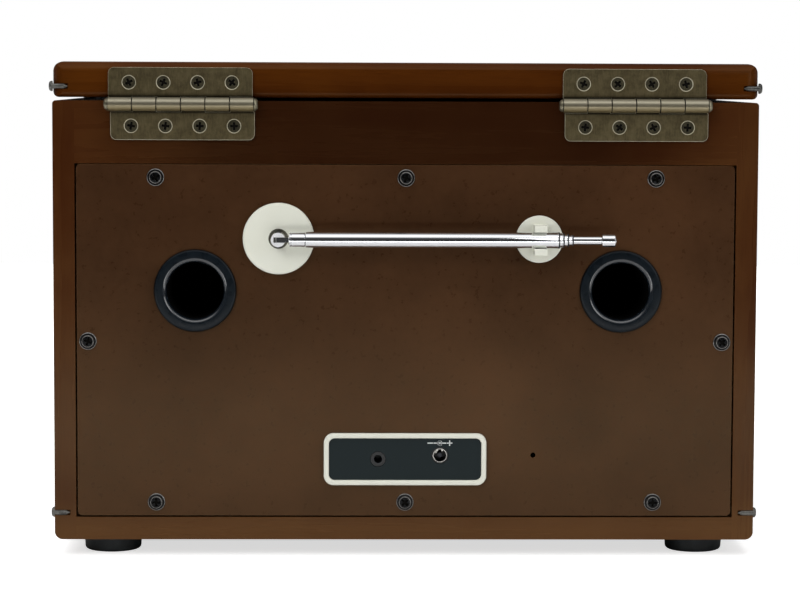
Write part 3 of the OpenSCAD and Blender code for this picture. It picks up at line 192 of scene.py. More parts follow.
def soften(node, body, radius, coats, steps=2, choose=None, rim=None):
    """Stands a copy of a CAD node, with its sharp edges eased to a real radius, in its place.
    The eased edges take the second coat. Where choose(middle, normal) gives each face its
    coat, they take their face's, or the one that rim(middle) gives."""
    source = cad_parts[node].data
    weld, flat_within, sharp_from, ease_from = 2e-6, 0.6, 28, 35
    mesh = bpy.data.meshes.new(node + "_eased")
    mesh.from_pydata([v.co[:] for v in source.vertices], [], [p.vertices[:] for p in source.polygons])
    shape = bmesh.new()
    shape.from_mesh(mesh)
    bmesh.ops.remove_doubles(shape, verts=shape.verts, dist=weld)
    bmesh.ops.dissolve_limit(shape, angle_limit=math.radians(flat_within), verts=shape.verts,
                             edges=shape.edges)
    shape.to_mesh(mesh)
    shape.free()
    for coat in coats:
        mesh.materials.append(coat)
    if choose:
        for face in mesh.polygons:
            face.material_index = choose(face.center, face.normal)
    draft = bpy.data.objects.new(node + "_draft", mesh)
    scene.collection.objects.link(draft)
    mesh.shade_smooth()
    mesh.set_sharp_from_angle(angle=math.radians(sharp_from))
    ease = draft.modifiers.new("eased_edges", "BEVEL")
    ease.width = radius
    ease.segments = steps
    ease.limit_method = "ANGLE"
    ease.angle_limit = math.radians(ease_from)
    ease.harden_normals = True
    if len(coats) > 1 and (rim or not choose):
        ease.material = 1
    ready = plain_mesh(draft)
    for face in ready.polygons:
        if rim and face.material_index == 1:
            face.material_index = rim(face.center)
    piece = stand_piece(node + "_eased", ready, body)
    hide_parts(node)


# above rail_low the rails take painted shade; the bottom board takes painted light
board_inside, rail_low = 0.1455, 0.174
cabinet_wood = stained_wood("stained_cabinet_board", "#381808", "#45240b", "#5d3c1f",
                            board_inside, rail_low, 0.25)
cabinet_edge = stained_wood("rubbed_cabinet_edge", "#4d260c", "#643a14", "#7a5128",
                            board_inside, rail_low, 0.3)
soften("cabinet", "body", 0.0006, [cabinet_wood, cabinet_edge], 3)

# ---------------------------------------------------------------- back panel
# A sheet of fibreboard, sprayed the cabinet's brown and let in flush. It is
# duller than the boards, and the raw fibre gives the spray a fine mottle.


def sprayed_board(name, dark, pale):
    """Sprayed fibreboard: cloudy over 70 mm, mottled over 3 mm, flecks of 0.6 mm."""
    made, tree, shader = material(name, dark, 0.3, Specular_IOR_Level=0.22,
                                  Specular_Tint=linear("#ffedc0"))
    place = put(tree, "ShaderNodeTexCoord").outputs["Object"]
    cloud = put(tree, "ShaderNodeTexNoise", inputs={"Vector": place, "Scale": 14, "Detail": 4,
                "Roughness": 0.6})
    mottle = put(tree, "ShaderNodeTexNoise", inputs={"Vector": place, "Scale": 330, "Detail": 3,
                 "Roughness": 0.7})
    fleck = put(tree, "ShaderNodeTexNoise", inputs={"Vector": place, "Scale": 1500, "Detail": 1})
    share = put(tree, "ShaderNodeMath", {"operation": "MULTIPLY"}, {0: mottle.outputs[0], 1: 0.22})
    both = put(tree, "ShaderNodeMath", {"operation": "MULTIPLY_ADD"},
               {0: cloud.outputs[0], 1: 0.9, 2: share.outputs[0]})
    spread = put(tree, "ShaderNodeMapRange", inputs={0: both.outputs[0], 1: 0.33, 2: 0.78})
    tone = put(tree, "ShaderNodeMix", {"data_type": "RGBA"},
               {0: spread.outputs[0], 6: linear(dark), 7: linear(pale)})
    tree.links.new(tone.outputs[2], shader.inputs["Base Color"])
    dull = put(tree, "ShaderNodeMapRange", inputs={0: mottle.outputs[0], 1: 0.3, 2: 0.7, 3: 0.26, 4: 0.36})
    tree.links.new(dull.outputs[0], shader.inputs["Roughness"])
    relief = put(tree, "ShaderNodeBump", inputs={"Strength": 0.12, "Distance": 0.00004,
                 "Height": fleck.outputs[0]})
    tree.links.new(relief.outputs[0], shader.inputs["Normal"])
    return made


panel_coat = sprayed_board("sprayed_fibreboard", "#331e10", "#4b301d")
# painted highlight: the eased edges are paler than the spray, as if catching light
panel_edge_highlight = sprayed_board("painted_highlight_panel_edge", "#79573a", "#9b7850")
soften("rear_panel", "body", 0.0004, [panel_coat, panel_edge_highlight])

# ---------------------------------------------------------------- panel screws
# Eight black-oxide wood screws with a flange under the pan head. The driver has
# rubbed the rims of the heads back to a dull grey, and the cross recesses take painted shade.


def mottled(name, colour, roughness, metallic, pattern, tones=None, spread=None, haze=None,
            relief=None, **sockets):
    """A finish with one noise all over it: its patches to a metre and their detail. It drifts
    between two tones; spread says where the second starts and is full, and its share. Haze
    is the range of the roughness, and relief the strength and height of the skin."""
    made, tree, shader = material(name, colour, roughness, metallic, **sockets)
    place = put(tree, "ShaderNodeTexCoord").outputs["Object"]
    drift = put(tree, "ShaderNodeTexNoise", inputs={"Vector": place, "Scale": pattern[0],
                "Detail": pattern[1]}).outputs[0]
    share = drift
    if spread:
        starts, full, most = spread
        share = put(tree, "ShaderNodeMapRange", inputs={0: drift, 1: starts, 2: full, 4: most}).outputs[0]
    if tones:
        tone = put(tree, "ShaderNodeMix", {"data_type": "RGBA"},
                   {0: share, 6: linear(tones[0]), 7: linear(tones[1])})
        tree.links.new(tone.outputs[2], shader.inputs["Base Color"])
    if haze:
        dulled = put(tree, "ShaderNodeMapRange", inputs={0: drift, 1: 0.3, 2: 0.7, 3: haze[0], 4: haze[1]})
        tree.links.new(dulled.outputs[0], shader.inputs["Roughness"])
    if relief:
        skin = put(tree, "ShaderNodeBump", inputs={"Strength": relief[0], "Distance": relief[1],
                   "Height": drift})
        tree.links.new(skin.outputs[0], shader.inputs["Normal"])
    return made


black_oxide = mottled("black_oxide_steel", "#0b0c0e", 0.34, 0.0, (900, 3), ("#08090b", "#1c1e20"),
                      spread=(0.55, 0.75, 0.6), Specular_IOR_Level=0.16)
rubbed_oxide = mottled("rubbed_oxide_rim", "#4b4a48", 0.3, 0.7, (1300, 3), ("#2c2c2e", "#a09e9a"))
recess_black = mottled("cross_recess_shade", "#070706", 0.7, 0.0, (2500, 2), ("#040403", "#15120e"),
                       Specular_IOR_Level=0.1)
back_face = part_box("rear_panel")[1].y
pan_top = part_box("rear_panel_screws")[1].y
cross_floor, cross_from, dome_drop = 0.0008, 0.0009, 0.0006


def panel_screw_coat(middle, normal):
    """Shade on the floor and walls of the cross, rubbed steel on the slopes, oxide elsewhere."""
    floor = abs(middle.y - back_face - cross_floor) < 0.0002 and normal.y > 0.9
    wall = back_face + cross_from < middle.y < pan_top - dome_drop and abs(normal.y) < 0.05
    return 2 if floor or wall else 1 if 0.15 < normal.y < 0.97 else 0


soften("rear_panel_screws", "body", 0.0003, [black_oxide, rubbed_oxide, recess_black],
       choose=panel_screw_coat, rim=lambda middle: 1)

# ---------------------------------------------------------------- bass ports
# Two flared tubes moulded in black styrene and pressed into the panel. The
# mould was polished, so the lip takes one thin, clean line of light.
port_gloss = mottled("polished_black_styrene", "#14191f", 0.16, 0.0, (260, 1), ("#12161b", "#192027"),
                     haze=(0.13, 0.19), IOR=1.6, Coat_Weight=1.0, Coat_Roughness=0.08)
flange_satin = mottled("satin_black_styrene", "#181e24", 0.3, 0.0, (260, 1), ("#0c1115", "#131a20"),
                       haze=(0.24, 0.34), Specular_IOR_Level=0.15)
# painted shade: near black in the throat and as a shadow line round the flange's edge
port_shade_black = mottled("painted_port_shade", "#050505", 0.5, 0.0, (500, 2), ("#030303", "#0a0a0a"),
                       Specular_IOR_Level=0.2)
throat_from, lip_radius, edge_width = 0.0025, 0.0143, 0.0004


def centre_of(node):
    """The middle of a CAD node, across and up."""
    low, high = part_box(node)
    return (low.x + high.x) / 2, (low.z + high.z) / 2


def reach_from(axis, middle):
    """How far a face stands from an axis that runs front to back."""
    return math.hypot(middle.x - axis[0], middle.z - axis[1])


for node in ("bass_port_left", "bass_port_right"):
    low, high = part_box(node)
    port_axis, port_edge = centre_of(node), (high.x - low.x) / 2 - edge_width

    def port_coat(middle, normal):
        """Painted shade in the throat and round the flange's edge, satin on the flange, gloss on the lip."""
        reach = reach_from(port_axis, middle)
        if middle.y < back_face - throat_from or reach > port_edge:
            return 2
        return 1 if reach > lip_radius or normal.y > 0.985 else 0

    soften(node, "body", 0.0002, [port_gloss, flange_satin, port_shade_black],
           choose=port_coat)

# ---------------------------------------------------------------- aerial mounts
# A round boss and a clip moulded in ivory ABS. The skin is satin, and age has
# yellowed it unevenly over a few centimetres.


def ivory(name, base, aged, roughness):
    """Moulded ivory ABS: ageing blotches 25 mm across, mould texture 0.25 mm."""
    made, tree, shader = material(name, base, roughness, IOR=1.53, Specular_IOR_Level=0.4)
    place = put(tree, "ShaderNodeTexCoord").outputs["Object"]
    age = put(tree, "ShaderNodeTexNoise", inputs={"Vector": place, "Scale": 40, "Detail": 3})
    skin = put(tree, "ShaderNodeTexNoise", inputs={"Vector": place, "Scale": 4000, "Detail": 1})
    tint = put(tree, "ShaderNodeMix", {"data_type": "RGBA"},
               {0: age.outputs[0], 6: linear(base), 7: linear(aged)})
    tree.links.new(tint.outputs[2], shader.inputs["Base Color"])
    relief = put(tree, "ShaderNodeBump", inputs={"Strength": 0.2, "Distance": 0.00002,
                 "Height": skin.outputs[0]})
    tree.links.new(relief.outputs[0], shader.inputs["Normal"])
    return made


ivory_abs = ivory("ivory_abs", "#edeee2", "#e5e6d6", 0.4)
groove_shade_abs = ivory("painted_shade_ivory_abs", "#8e8c7e", "#6f6c5f", 0.6)
disc_axis, disc_face, groove_radius = centre_of("aerial_disc"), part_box("aerial_disc")[1].y, 0.0043
# painted shade darkens the groove round the swivel
soften("aerial_disc", "body", 0.00015, [ivory_abs, groove_shade_abs],
       choose=lambda middle, normal: 1 if reach_from(disc_axis, middle) < groove_radius
       and middle.y < disc_face - 0.00005 else 0)
soften("aerial_clip", "body", 0.0003, [ivory_abs])

# ---------------------------------------------------------------- aerial
# Drawn brass tubes, one inside the next, plated with bright chrome. Handling
# leaves a faint haze along them; the swivel stud is nickelled and softer.
chrome, tree, shader = material("bright_chrome_plate", "#f6f7fa", 0.07, 1.0)
place = put(tree, "ShaderNodeTexCoord").outputs["Object"]
along = put(tree, "ShaderNodeMapping", inputs={"Vector": place, "Scale": (0.15, 1.0, 1.0)})
wipe = put(tree, "ShaderNodeTexNoise", inputs={"Vector": along.outputs[0], "Scale": 900, "Detail": 3})
haze = put(tree, "ShaderNodeMapRange", inputs={0: wipe.outputs[0], 1: 0.3, 2: 0.8, 3: 0.04, 4: 0.13})
tree.links.new(haze.outputs[0], shader.inputs["Roughness"])
nickel = mottled("satin_nickel_plate", "#d5d3cd", 0.3, 1.0, (1500, 3), ("#bdbbb4", "#eceae4"))
# painted highlight: the stud's face is near white and half metallic, so it shows bright
stud_face_highlight = mottled("painted_highlight_stud_face", "#f0f0f2", 0.5, 0.35, (1500, 3), ("#dcdce0", "#ffffff"))
# painted shade on the tubes' open ends, in the stud's fork and in the tubes' mouths, and on the socket pin
painted_end_shade = mottled("painted_shade_tube_end", "#2c2d31", 0.5, 0.6, (1800, 3), ("#1b1c20", "#43454b"))
soften("aerial_stud", "aerial_swivel_body", 0.0004, [nickel, stud_face_highlight, painted_end_shade], 3,
       choose=lambda middle, normal: 2 if abs(normal.y) < 0.1 and abs(normal.z) > 0.9 else
       1 if normal.y > 0.3 else 0)
for node, body in (("aerial_tube_1", "aerial_1"), ("aerial_tube_2", "aerial_2"),
                   ("aerial_tube_3", "aerial_3"), ("aerial_tube_4", "aerial_4"),
                   ("aerial_tip_rod", "aerial_5")):
    soften(node, body, 0.00012, [chrome, painted_end_shade],
           choose=lambda middle, normal: 1 if normal.x < -0.8 and node != "aerial_tip_rod" else 0)


def new_tree(name, inputs):
    """A tree of geometry nodes with named inputs and one geometry output."""
    tree = bpy.data.node_groups.new(name, "GeometryNodeTree")
    tree.interface.new_socket("Geometry", in_out="OUTPUT", socket_type="NodeSocketGeometry")
    for label, kind in inputs:
        tree.interface.new_socket(label, in_out="INPUT", socket_type="NodeSocket" + kind)
    return tree, tree.nodes.new("NodeGroupInput").outputs


def finish_tree(tree, shape, coat):
    """Ends a tree: the copies become a mesh, and the mesh takes its finish."""
    whole = put(tree, "GeometryNodeRealizeInstances", inputs={0: shape})
    dressed = put(tree, "GeometryNodeSetMaterial", inputs={"Geometry": whole.outputs[0], "Material": coat})
    put(tree, "NodeGroupOutput", inputs={0: dressed.outputs[0]})


def grow(name, tree, sizes, body):
    """Runs a tree with these sizes, and stands the plain mesh it makes on a body."""
    draft = bpy.data.objects.new(name + "_draft", bpy.data.meshes.new(name + "_draft"))
    scene.collection.objects.link(draft)
    made = draft.modifiers.new("made", "NODES")
    made.node_group = tree
    for item in tree.interface.items_tree:
        if item.in_out == "INPUT":
            made[item.identifier] = sizes[item.name]
    stand_piece(name, plain_mesh(draft), body)


# Each tube's open end is rolled to a bright bead, and a dark ring of painted shade sits in its mouth.
rolled, sizes = new_tree("rolled_end", (("Radius", "Float"), ("Bead", "Float"), ("End", "Vector"),
                         ("Turn", "Vector"), ("Finish", "Material")))
path = put(rolled, "GeometryNodeCurvePrimitiveCircle", inputs={"Resolution": 48, "Radius": sizes["Radius"]})
section = put(rolled, "GeometryNodeCurvePrimitiveCircle", inputs={"Resolution": 10, "Radius": sizes["Bead"]})
hoop = put(rolled, "GeometryNodeCurveToMesh", inputs={0: path.outputs[0], 1: section.outputs[0]})
smooth = put(rolled, "GeometryNodeSetShadeSmooth", inputs={0: hoop.outputs[0]})
laid = put(rolled, "GeometryNodeTransform", inputs={0: smooth.outputs[0], "Translation": sizes["End"],
           "Rotation": sizes["Turn"]})
finish_tree(rolled, laid.outputs[0], sizes["Finish"])
bead_radius, largest_tube, tube_step, bead_sunk = 0.00026, 0.0035, 0.0004, 0.00012
for number, body in enumerate(("aerial_1", "aerial_2", "aerial_3", "aerial_4"), 1):
    low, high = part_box("aerial_tube_" + str(number))
    centre_y, centre_z = (low.y + high.y) / 2, (low.z + high.z) / 2
    bead_at = largest_tube - tube_step * (number - 1) - bead_sunk
    for part, end_x, finish in (("rolled_end_", low.x + 0.0003, chrome),
                                ("shade_ring_", low.x - 0.0002, painted_end_shade)):
        grow(part + str(number), rolled, {"Radius": bead_at, "Bead": bead_radius,
             "End": (end_x, centre_y, centre_z), "Turn": (0, math.radians(90), 0), "Finish": finish},
             body)

# ---------------------------------------------------------------- socket plate
# A spark-eroded plate of dark blue-grey styrene behind an ivory frame. The
# sockets are nylon with nickelled contacts, and the sign is pad-printed.
frame_ivory = ivory("frame_ivory_abs", "#e6e7db", "#e0e0d0", 0.34)
soften("terminal_frame", "body", 0.0006, [frame_ivory], 3)
plate_dark = mottled("spark_eroded_styrene", "#1a2224", 0.5, 0.0, (2600, 2), ("#11191b", "#1a2628"),
                     relief=(0.4, 0.00004), Specular_IOR_Level=0.2)
soften("terminal_plate", "body", 0.00015, [plate_dark])
socket_black = mottled("moulded_nylon_black", "#0b0c0d", 0.4, 0.0, (1800, 2), ("#070809", "#101213"),
                       Specular_IOR_Level=0.5)
nylon_rim = mottled("rubbed_nylon_rim", "#3a3e40", 0.3, 0.0, (1800, 2), ("#1c1f21", "#3a3e40"),
                    Specular_IOR_Level=0.6)
soften("aux_socket", "body", 0.0002, [socket_black, nylon_rim])
supply_low, supply_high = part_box("dc_socket")
pin_x, pin_z = supply_axis = centre_of("dc_socket")
socket_edge = (supply_high.x - supply_low.x) / 2 - 0.0005
pin_radius, bore_radius = 0.0014, 0.0028
bore_floor, bore_mouth = back_face - 0.0088, back_face - 0.0003


def supply_coat(middle, normal):
    """Painted shade on the pin, nickel on the shell and the socket's outer slope, nylon elsewhere."""
    reach, in_bore = reach_from(supply_axis, middle), bore_floor < middle.y < bore_mouth
    if reach < pin_radius and in_bore:
        return 2
    slope = 0.2 < normal.y < 0.96 and reach > socket_edge
    return 1 if reach < bore_radius and in_bore or slope else 0


def supply_rim_coat(middle):
    """The same finishes on the eased edges."""
    reach = reach_from(supply_axis, middle)
    if reach < pin_radius:
        return 2
    return 0 if bore_radius < reach < socket_edge or middle.y < bore_floor else 1


soften("dc_socket", "body", 0.0003, [socket_black, nickel, painted_end_shade],
       choose=supply_coat, rim=supply_rim_coat)
plate_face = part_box("terminal_plate")[1].y
grow("supply_shell_rim", rolled, {"Radius": 0.00295, "Bead": 0.00017, "Turn": (math.radians(90), 0, 0),
     "End": (pin_x, plate_face - 0.0001, pin_z), "Finish": nickel}, "body")

# The polarity sign: a minus, an open ring about a dot, and a plus, joined by lines.
sign_white = mottled("pad_printed_white", "#d9dcdb", 0.6, 0.0, (3500, 2), ("#c4c8c7", "#f0f3f2"),
                     Specular_IOR_Level=0.2)
ink_t = 0.00004
stroke = 0.00046
shape = bmesh.new()


def stand_print(name, shape, ink, body):
    """Ends a printed sign: its shape becomes a mesh in one ink, on its body."""
    mesh = bpy.data.meshes.new(name)
    shape.to_mesh(mesh)
    shape.free()
    mesh.materials.clear()
    mesh.materials.append(ink)
    stand_piece(name, mesh, body)


def stroke_between(shape, a, b, width):
    """A printed stroke on the back, between two places given as (x to the camera's right, z)."""
    run = (Vector(b) - Vector(a)).normalized() * width / 2
    turn = Vector((-run.y, run.x))
    corners = [Vector(a) - run + turn, Vector(b) + run + turn,
               Vector(b) + run - turn, Vector(a) - run - turn]
    near = [shape.verts.new((pin_x - c.x, plate_face + ink_t, sign_z + c.y)) for c in corners]
    far = [shape.verts.new((pin_x - c.x, plate_face - ink_t, sign_z + c.y)) for c in corners]
    shape.faces.new(near)
    shape.faces.new(far[::-1])
    for k in range(4):
        shape.faces.new((near[k], far[k], far[(k + 1) % 4], near[(k + 1) % 4]))


sign_z = pin_z + 0.0055
for a, b in (((-0.0053, 0), (-0.0033, 0)), ((0.0033, 0), (0.0053, 0)), ((0.0043, -0.001), (0.0043, 0.001)),
             ((-0.0026, 0), (-0.0011, 0)), ((0.0002, 0), (0.0026, 0))):
    stroke_between(shape, a, b, stroke)
ring_radius = 0.00105
ring = [(-ring_radius * math.cos(t), ring_radius * math.sin(t))
        for t in [math.radians(d) for d in range(-130, 131, 20)]]
for a, b in zip(ring, ring[1:]):
    stroke_between(shape, a, b, stroke * 0.8)
stroke_between(shape, (-0.0002, 0), (0.0002, 0), 0.0008)
bmesh.ops.recalc_face_normals(shape, faces=shape.faces)
stand_print("polarity_sign", shape, sign_white, "body")

# ---------------------------------------------------------------- feet
# Four rubber discs with a hollow middle, each held by a screw inside. The
# rubber is matt with a light bloom of dust.


def paint(node, coat):
    """Gives a CAD node its finish."""
    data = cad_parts[node].data
    data.materials.clear()
    data.materials.append(coat)
    data.polygons.foreach_set("material_index", [0] * len(data.polygons))
    data.update()


foot_rubber = mottled("moulded_foot_rubber", "#141517", 0.6, 0.0, (260, 4), ("#111517", "#283032"),
                      spread=(0.45, 0.8, 0.5), Specular_IOR_Level=0.4)
soften("feet", "body", 0.0004, [foot_rubber])
for node in ("lid_pads", "mech_grommets"):
    paint(node, foot_rubber)

# ---------------------------------------------------------------- lid
# A board like the cabinet's, redder because its lacquer is thicker, with its
# edges rounded on a router.
# its grain lies along it everywhere, and it takes no painted rail shade: both begin far outside it
nowhere = 9.0
lid_wood = stained_wood("stained_lid_board", "#3a1904", "#4d2607", "#66380c", nowhere, nowhere, 0.12)
lid_edge = stained_wood("rubbed_lid_edge", "#42200a", "#512a0c", "#633812", nowhere, nowhere, 0.03)
soften("lid", "lid_body", 0.0004, [lid_wood, lid_edge])

# ---------------------------------------------------------------- hinges
# Butt hinges of stamped steel, bronze plated, brushed and toned dark. The rims
# of the leaves and the rolled knuckles are rubbed back to a paler metal.


def toned_bronze(name, dark, pale, roughness, bare_share, rubbed=None, from_y=nowhere, seam=nowhere):
    """Brushed plate under a toned skin, so that it mirrors only by bare_share. It has fine
    upright brush lines, and tarnish over 4 mm. What stands out further than from_y is rubbed
    paler, and a painted highlight takes its upper half to the rubbed tone; painted shade
    darkens the flat faces beside the seam."""
    knuckle_rise, rubbed_share, knuckle_gloss = 0.002, 0.85, 0.34
    seam_shade_out, seam_shade_full, seam_shade_share = 0.0042, 0.0035, 0.85
    made, tree, shader = material(name, dark, roughness, bare_share)
    place = put(tree, "ShaderNodeTexCoord").outputs["Object"]
    drawn = put(tree, "ShaderNodeMapping", inputs={"Vector": place, "Scale": (1.0, 1.0, 0.12)})
    brush = put(tree, "ShaderNodeTexNoise", inputs={"Vector": drawn.outputs[0], "Scale": 2600,
                "Detail": 3, "Roughness": 0.7})
    tarnish = put(tree, "ShaderNodeTexNoise", inputs={"Vector": place, "Scale": 240, "Detail": 5,
                  "Roughness": 0.7})
    lines = put(tree, "ShaderNodeMath", {"operation": "MULTIPLY"}, {0: brush.outputs[0], 1: 0.35})
    both = put(tree, "ShaderNodeMath", {"operation": "MULTIPLY_ADD"},
               {0: tarnish.outputs[0], 1: 0.6, 2: lines.outputs[0]})
    share = put(tree, "ShaderNodeMapRange", inputs={0: both.outputs[0], 1: 0.33, 2: 0.66})
    colour = put(tree, "ShaderNodeMix", {"data_type": "RGBA"},
                 {0: share.outputs[0], 6: linear(dark), 7: linear(pale)})
    outward = put(tree, "ShaderNodeSeparateXYZ", inputs={0: place}).outputs[1]
    proud = put(tree, "ShaderNodeMapRange", inputs={0: outward, 1: from_y, 2: from_y + knuckle_rise})
    thin = put(tree, "ShaderNodeMath", {"operation": "MULTIPLY"}, {0: proud.outputs[0], 1: rubbed_share})
    height = put(tree, "ShaderNodeSeparateXYZ", inputs={0: place}).outputs[2]
    off = put(tree, "ShaderNodeMath", {"operation": "SUBTRACT"}, {0: height, 1: seam})
    lit_upper = put(tree, "ShaderNodeMapRange", inputs={0: off.outputs[0], 1: -0.002, 2: 0.0012})
    upper_highlight = put(tree, "ShaderNodeMix", {"data_type": "RGBA"},
                  {0: lit_upper.outputs[0], 6: linear(pale), 7: linear(rubbed or pale)})
    bare = put(tree, "ShaderNodeMix", {"data_type": "RGBA"},
               {0: thin.outputs[0], 6: colour.outputs[2], 7: upper_highlight.outputs[2]})
    # painted shade: the flat leaves beside the seam are darkened towards #15120c
    far = put(tree, "ShaderNodeMath", {"operation": "ABSOLUTE"}, {0: off.outputs[0]})
    near = put(tree, "ShaderNodeMapRange", inputs={0: far.outputs[0], 1: seam_shade_out, 2: seam_shade_full,
               4: seam_shade_share})
    flat = put(tree, "ShaderNodeMath", {"operation": "SUBTRACT"}, {0: 1.0, 1: proud.outputs[0]})
    painted_seam_shade = put(tree, "ShaderNodeMath", {"operation": "MULTIPLY"}, {0: near.outputs[0], 1: flat.outputs[0]})
    seam_shaded = put(tree, "ShaderNodeMix", {"data_type": "RGBA"},
                     {0: painted_seam_shade.outputs[0], 6: bare.outputs[2], 7: linear("#15120c")})
    tree.links.new(seam_shaded.outputs[2], shader.inputs["Base Color"])
    smooth = put(tree, "ShaderNodeMapRange", inputs={0: proud.outputs[0], 3: roughness, 4: knuckle_gloss})
    tree.links.new(smooth.outputs[0], shader.inputs["Roughness"])
    relief = put(tree, "ShaderNodeBump", inputs={"Strength": 0.3, "Distance": 0.00003,
                 "Height": brush.outputs[0]})
    tree.links.new(relief.outputs[0], shader.inputs["Normal"])
    return made


leaf_thickness = 0.0014
leaf_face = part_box("body_hinge_leaves")[0].y + leaf_thickness
seam_z = sum(corner.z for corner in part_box("hinge_pins")) / 2
# the leaf coat paints a highlight on the knuckles' upper halves and shade beside the seam
leaf_bronze = toned_bronze("toned_bronze_leaf", "#594f36", "#857857", 0.38, 0.72,
                           "#a39d8a", leaf_face, seam_z)
rim_bronze = toned_bronze("rubbed_bronze_rim", "#d2caac", "#f0e9d0", 0.5, 0.4, "#5d5740", leaf_face)
pin_bronze = toned_bronze("rubbed_bronze_pin", "#7d7762", "#a39d88", 0.36, 0.8)
# the knuckles' end faces and eased edges take painted shade, for the gaps between knuckles
for node, body in (("body_hinge_leaves", "body"), ("lid_hinge_leaves", "lid_body")):
    soften(node, body, 0.0004, [leaf_bronze, rim_bronze, recess_black],
           choose=lambda middle, normal: 2 if middle.y > leaf_face and abs(normal.x) > 0.3 else
           1 if middle.y < leaf_face and 0.1 < normal.y < 0.96 else 0,
           rim=lambda middle: 2 if middle.y > leaf_face else 1)
soften("hinge_pins", "body", 0.0002, [pin_bronze])
screw_bronze = toned_bronze("toned_screw_head", "#3a362a", "#6d6750", 0.3, 0.6)
head_face, cross_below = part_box("body_hinge_screws")[1].y, 0.0003
for node, body in (("body_hinge_screws", "body"), ("lid_hinge_screws", "lid_body")):
    soften(node, body, 0.00028, [screw_bronze, recess_black, rim_bronze],
           choose=lambda middle, normal: 1 if middle.y < head_face - cross_below
           and (normal.y > 0.9 or abs(normal.y) < 0.1) else 2 if 0.1 < normal.y < 0.95 else 0)

# ---------------------------------------------------------------- edge tacks
# Steel tacks half sunk across the back edges. They have gone dull and mottled,
# bright only where a cloth catches them.
tack_steel = toned_bronze("dull_tack_steel", "#1a1917", "#8b8a85", 0.3, 0.6)
soften("body_edge_tacks", "body", 0.00015, [tack_steel])
soften("lid_edge_tacks", "lid_body", 0.00015, [tack_steel])

# ---------------------------------------------------------------- deck
# One moulding in black ABS with a fine leather texture; its eased edges are
# glossier than the faces. Zinc-plated screws hold it to the battens.
deck_black, tree, shader = material("textured_black_abs", "#141415", 0.55, 0.0, Specular_IOR_Level=0.35)
place = put(tree, "ShaderNodeTexCoord").outputs["Object"]
leather = put(tree, "ShaderNodeTexVoronoi", inputs={"Vector": place, "Scale": 1300})
relief = put(tree, "ShaderNodeBump", inputs={"Strength": 0.35, "Distance": 0.00006,
             "Height": leather.outputs[0]})
tone = put(tree, "ShaderNodeMix", {"data_type": "RGBA"},
           {0: leather.outputs[0], 6: linear("#121213"), 7: linear("#1e1e20")})
tree.links.new(tone.outputs[2], shader.inputs["Base Color"])
tree.links.new(relief.outputs[0], shader.inputs["Normal"])
deck_edge = mottled("polished_abs_edge", "#1b1b1d", 0.25, 0.0, (700, 3), haze=(0.18, 0.4),
                    Specular_IOR_Level=0.5)
soften("deck", "body", 0.0005, [deck_black, deck_edge])
soften("spindle_hub", "hub", 0.0003, [deck_black, deck_edge])
soften("pickup_sled", "sled", 0.0003, [deck_black, deck_edge])

zinc, tree, shader = material("zinc_plated_steel", "#a9abad", 0.32, 1.0)
place = put(tree, "ShaderNodeTexCoord").outputs["Object"]
spangle = put(tree, "ShaderNodeTexVoronoi", inputs={"Vector": place, "Scale": 220})
fine = put(tree, "ShaderNodeTexNoise", inputs={"Vector": place, "Scale": 1800, "Detail": 3})
tone = put(tree, "ShaderNodeMix", {"data_type": "RGBA"},
           {0: spangle.outputs[0], 6: linear("#9a9c9e"), 7: linear("#b9bbbd")})
haze = put(tree, "ShaderNodeMapRange", inputs={0: fine.outputs[0], 1: 0.3, 2: 0.7, 3: 0.24, 4: 0.4})
tree.links.new(tone.outputs[2], shader.inputs["Base Color"])
tree.links.new(haze.outputs[0], shader.inputs["Roughness"])
for node in ("deck_screws", "mech_chassis", "guide_rails", "disc_motors", "lead_screw", "control_pots"):
    paint(node, zinc)

# ---------------------------------------------------------------- lead screw thread
# A rolled thread on the shaft that drives the pickup: a bead wound round the
# shaft at 1.5 mm a turn, sunk in it to its flank, as fine as it shows.

thread, sizes = new_tree("rolled_thread", (("Radius", "Float"), ("Bead", "Float"), ("Turns", "Float"),
                         ("Length", "Float"), ("Start", "Vector"), ("Finish", "Material")))
coil = put(thread, "GeometryNodeCurveSpiral", inputs={0: 14, 1: sizes["Turns"], 2: sizes["Radius"],
           3: sizes["Radius"], 4: sizes["Length"]})
bead = put(thread, "GeometryNodeCurvePrimitiveCircle", inputs={"Resolution": 5, "Radius": sizes["Bead"]})
wound = put(thread, "GeometryNodeCurveToMesh", inputs={0: coil.outputs[0], 1: bead.outputs[0],
            "Fill Caps": True})
laid = put(thread, "GeometryNodeTransform", inputs={0: wound.outputs[0], "Translation": sizes["Start"],
           "Rotation": (math.radians(-90), 0, 0)})
finish_tree(thread, laid.outputs[0], sizes["Finish"])
shaft_x, shaft_z = centre_of("lead_screw")
grow("lead_screw_thread", thread, {"Radius": 0.00142, "Bead": 0.00016, "Turns": 38.0, "Length": 0.057,
     "Start": (shaft_x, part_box("lead_screw")[0].y + 0.004, shaft_z), "Finish": zinc}, "screw")

# ---------------------------------------------------------------- brass parts
# The lid's stay, its guide, the dial's rim and the pointer are stamped or turned
# brass under a clear lacquer, worn brighter along the edges.
brass = mottled("lacquered_brass", "#b08d4c", 0.28, 1.0, (500, 4), ("#a58243", "#be9b5a"),
                haze=(0.22, 0.36))
bright_brass = mottled("rubbed_brass_edge", "#d0b072", 0.2, 1.0, (900, 3), ("#c4a264", "#dcc08a"))
for node, body in (("lid_stay", "lid_body"), ("stay_guide", "body"), ("dial_bezel", "body"),
                   ("tuning_pointer", "tuning")):
    soften(node, body, 0.0002, [brass, bright_brass])

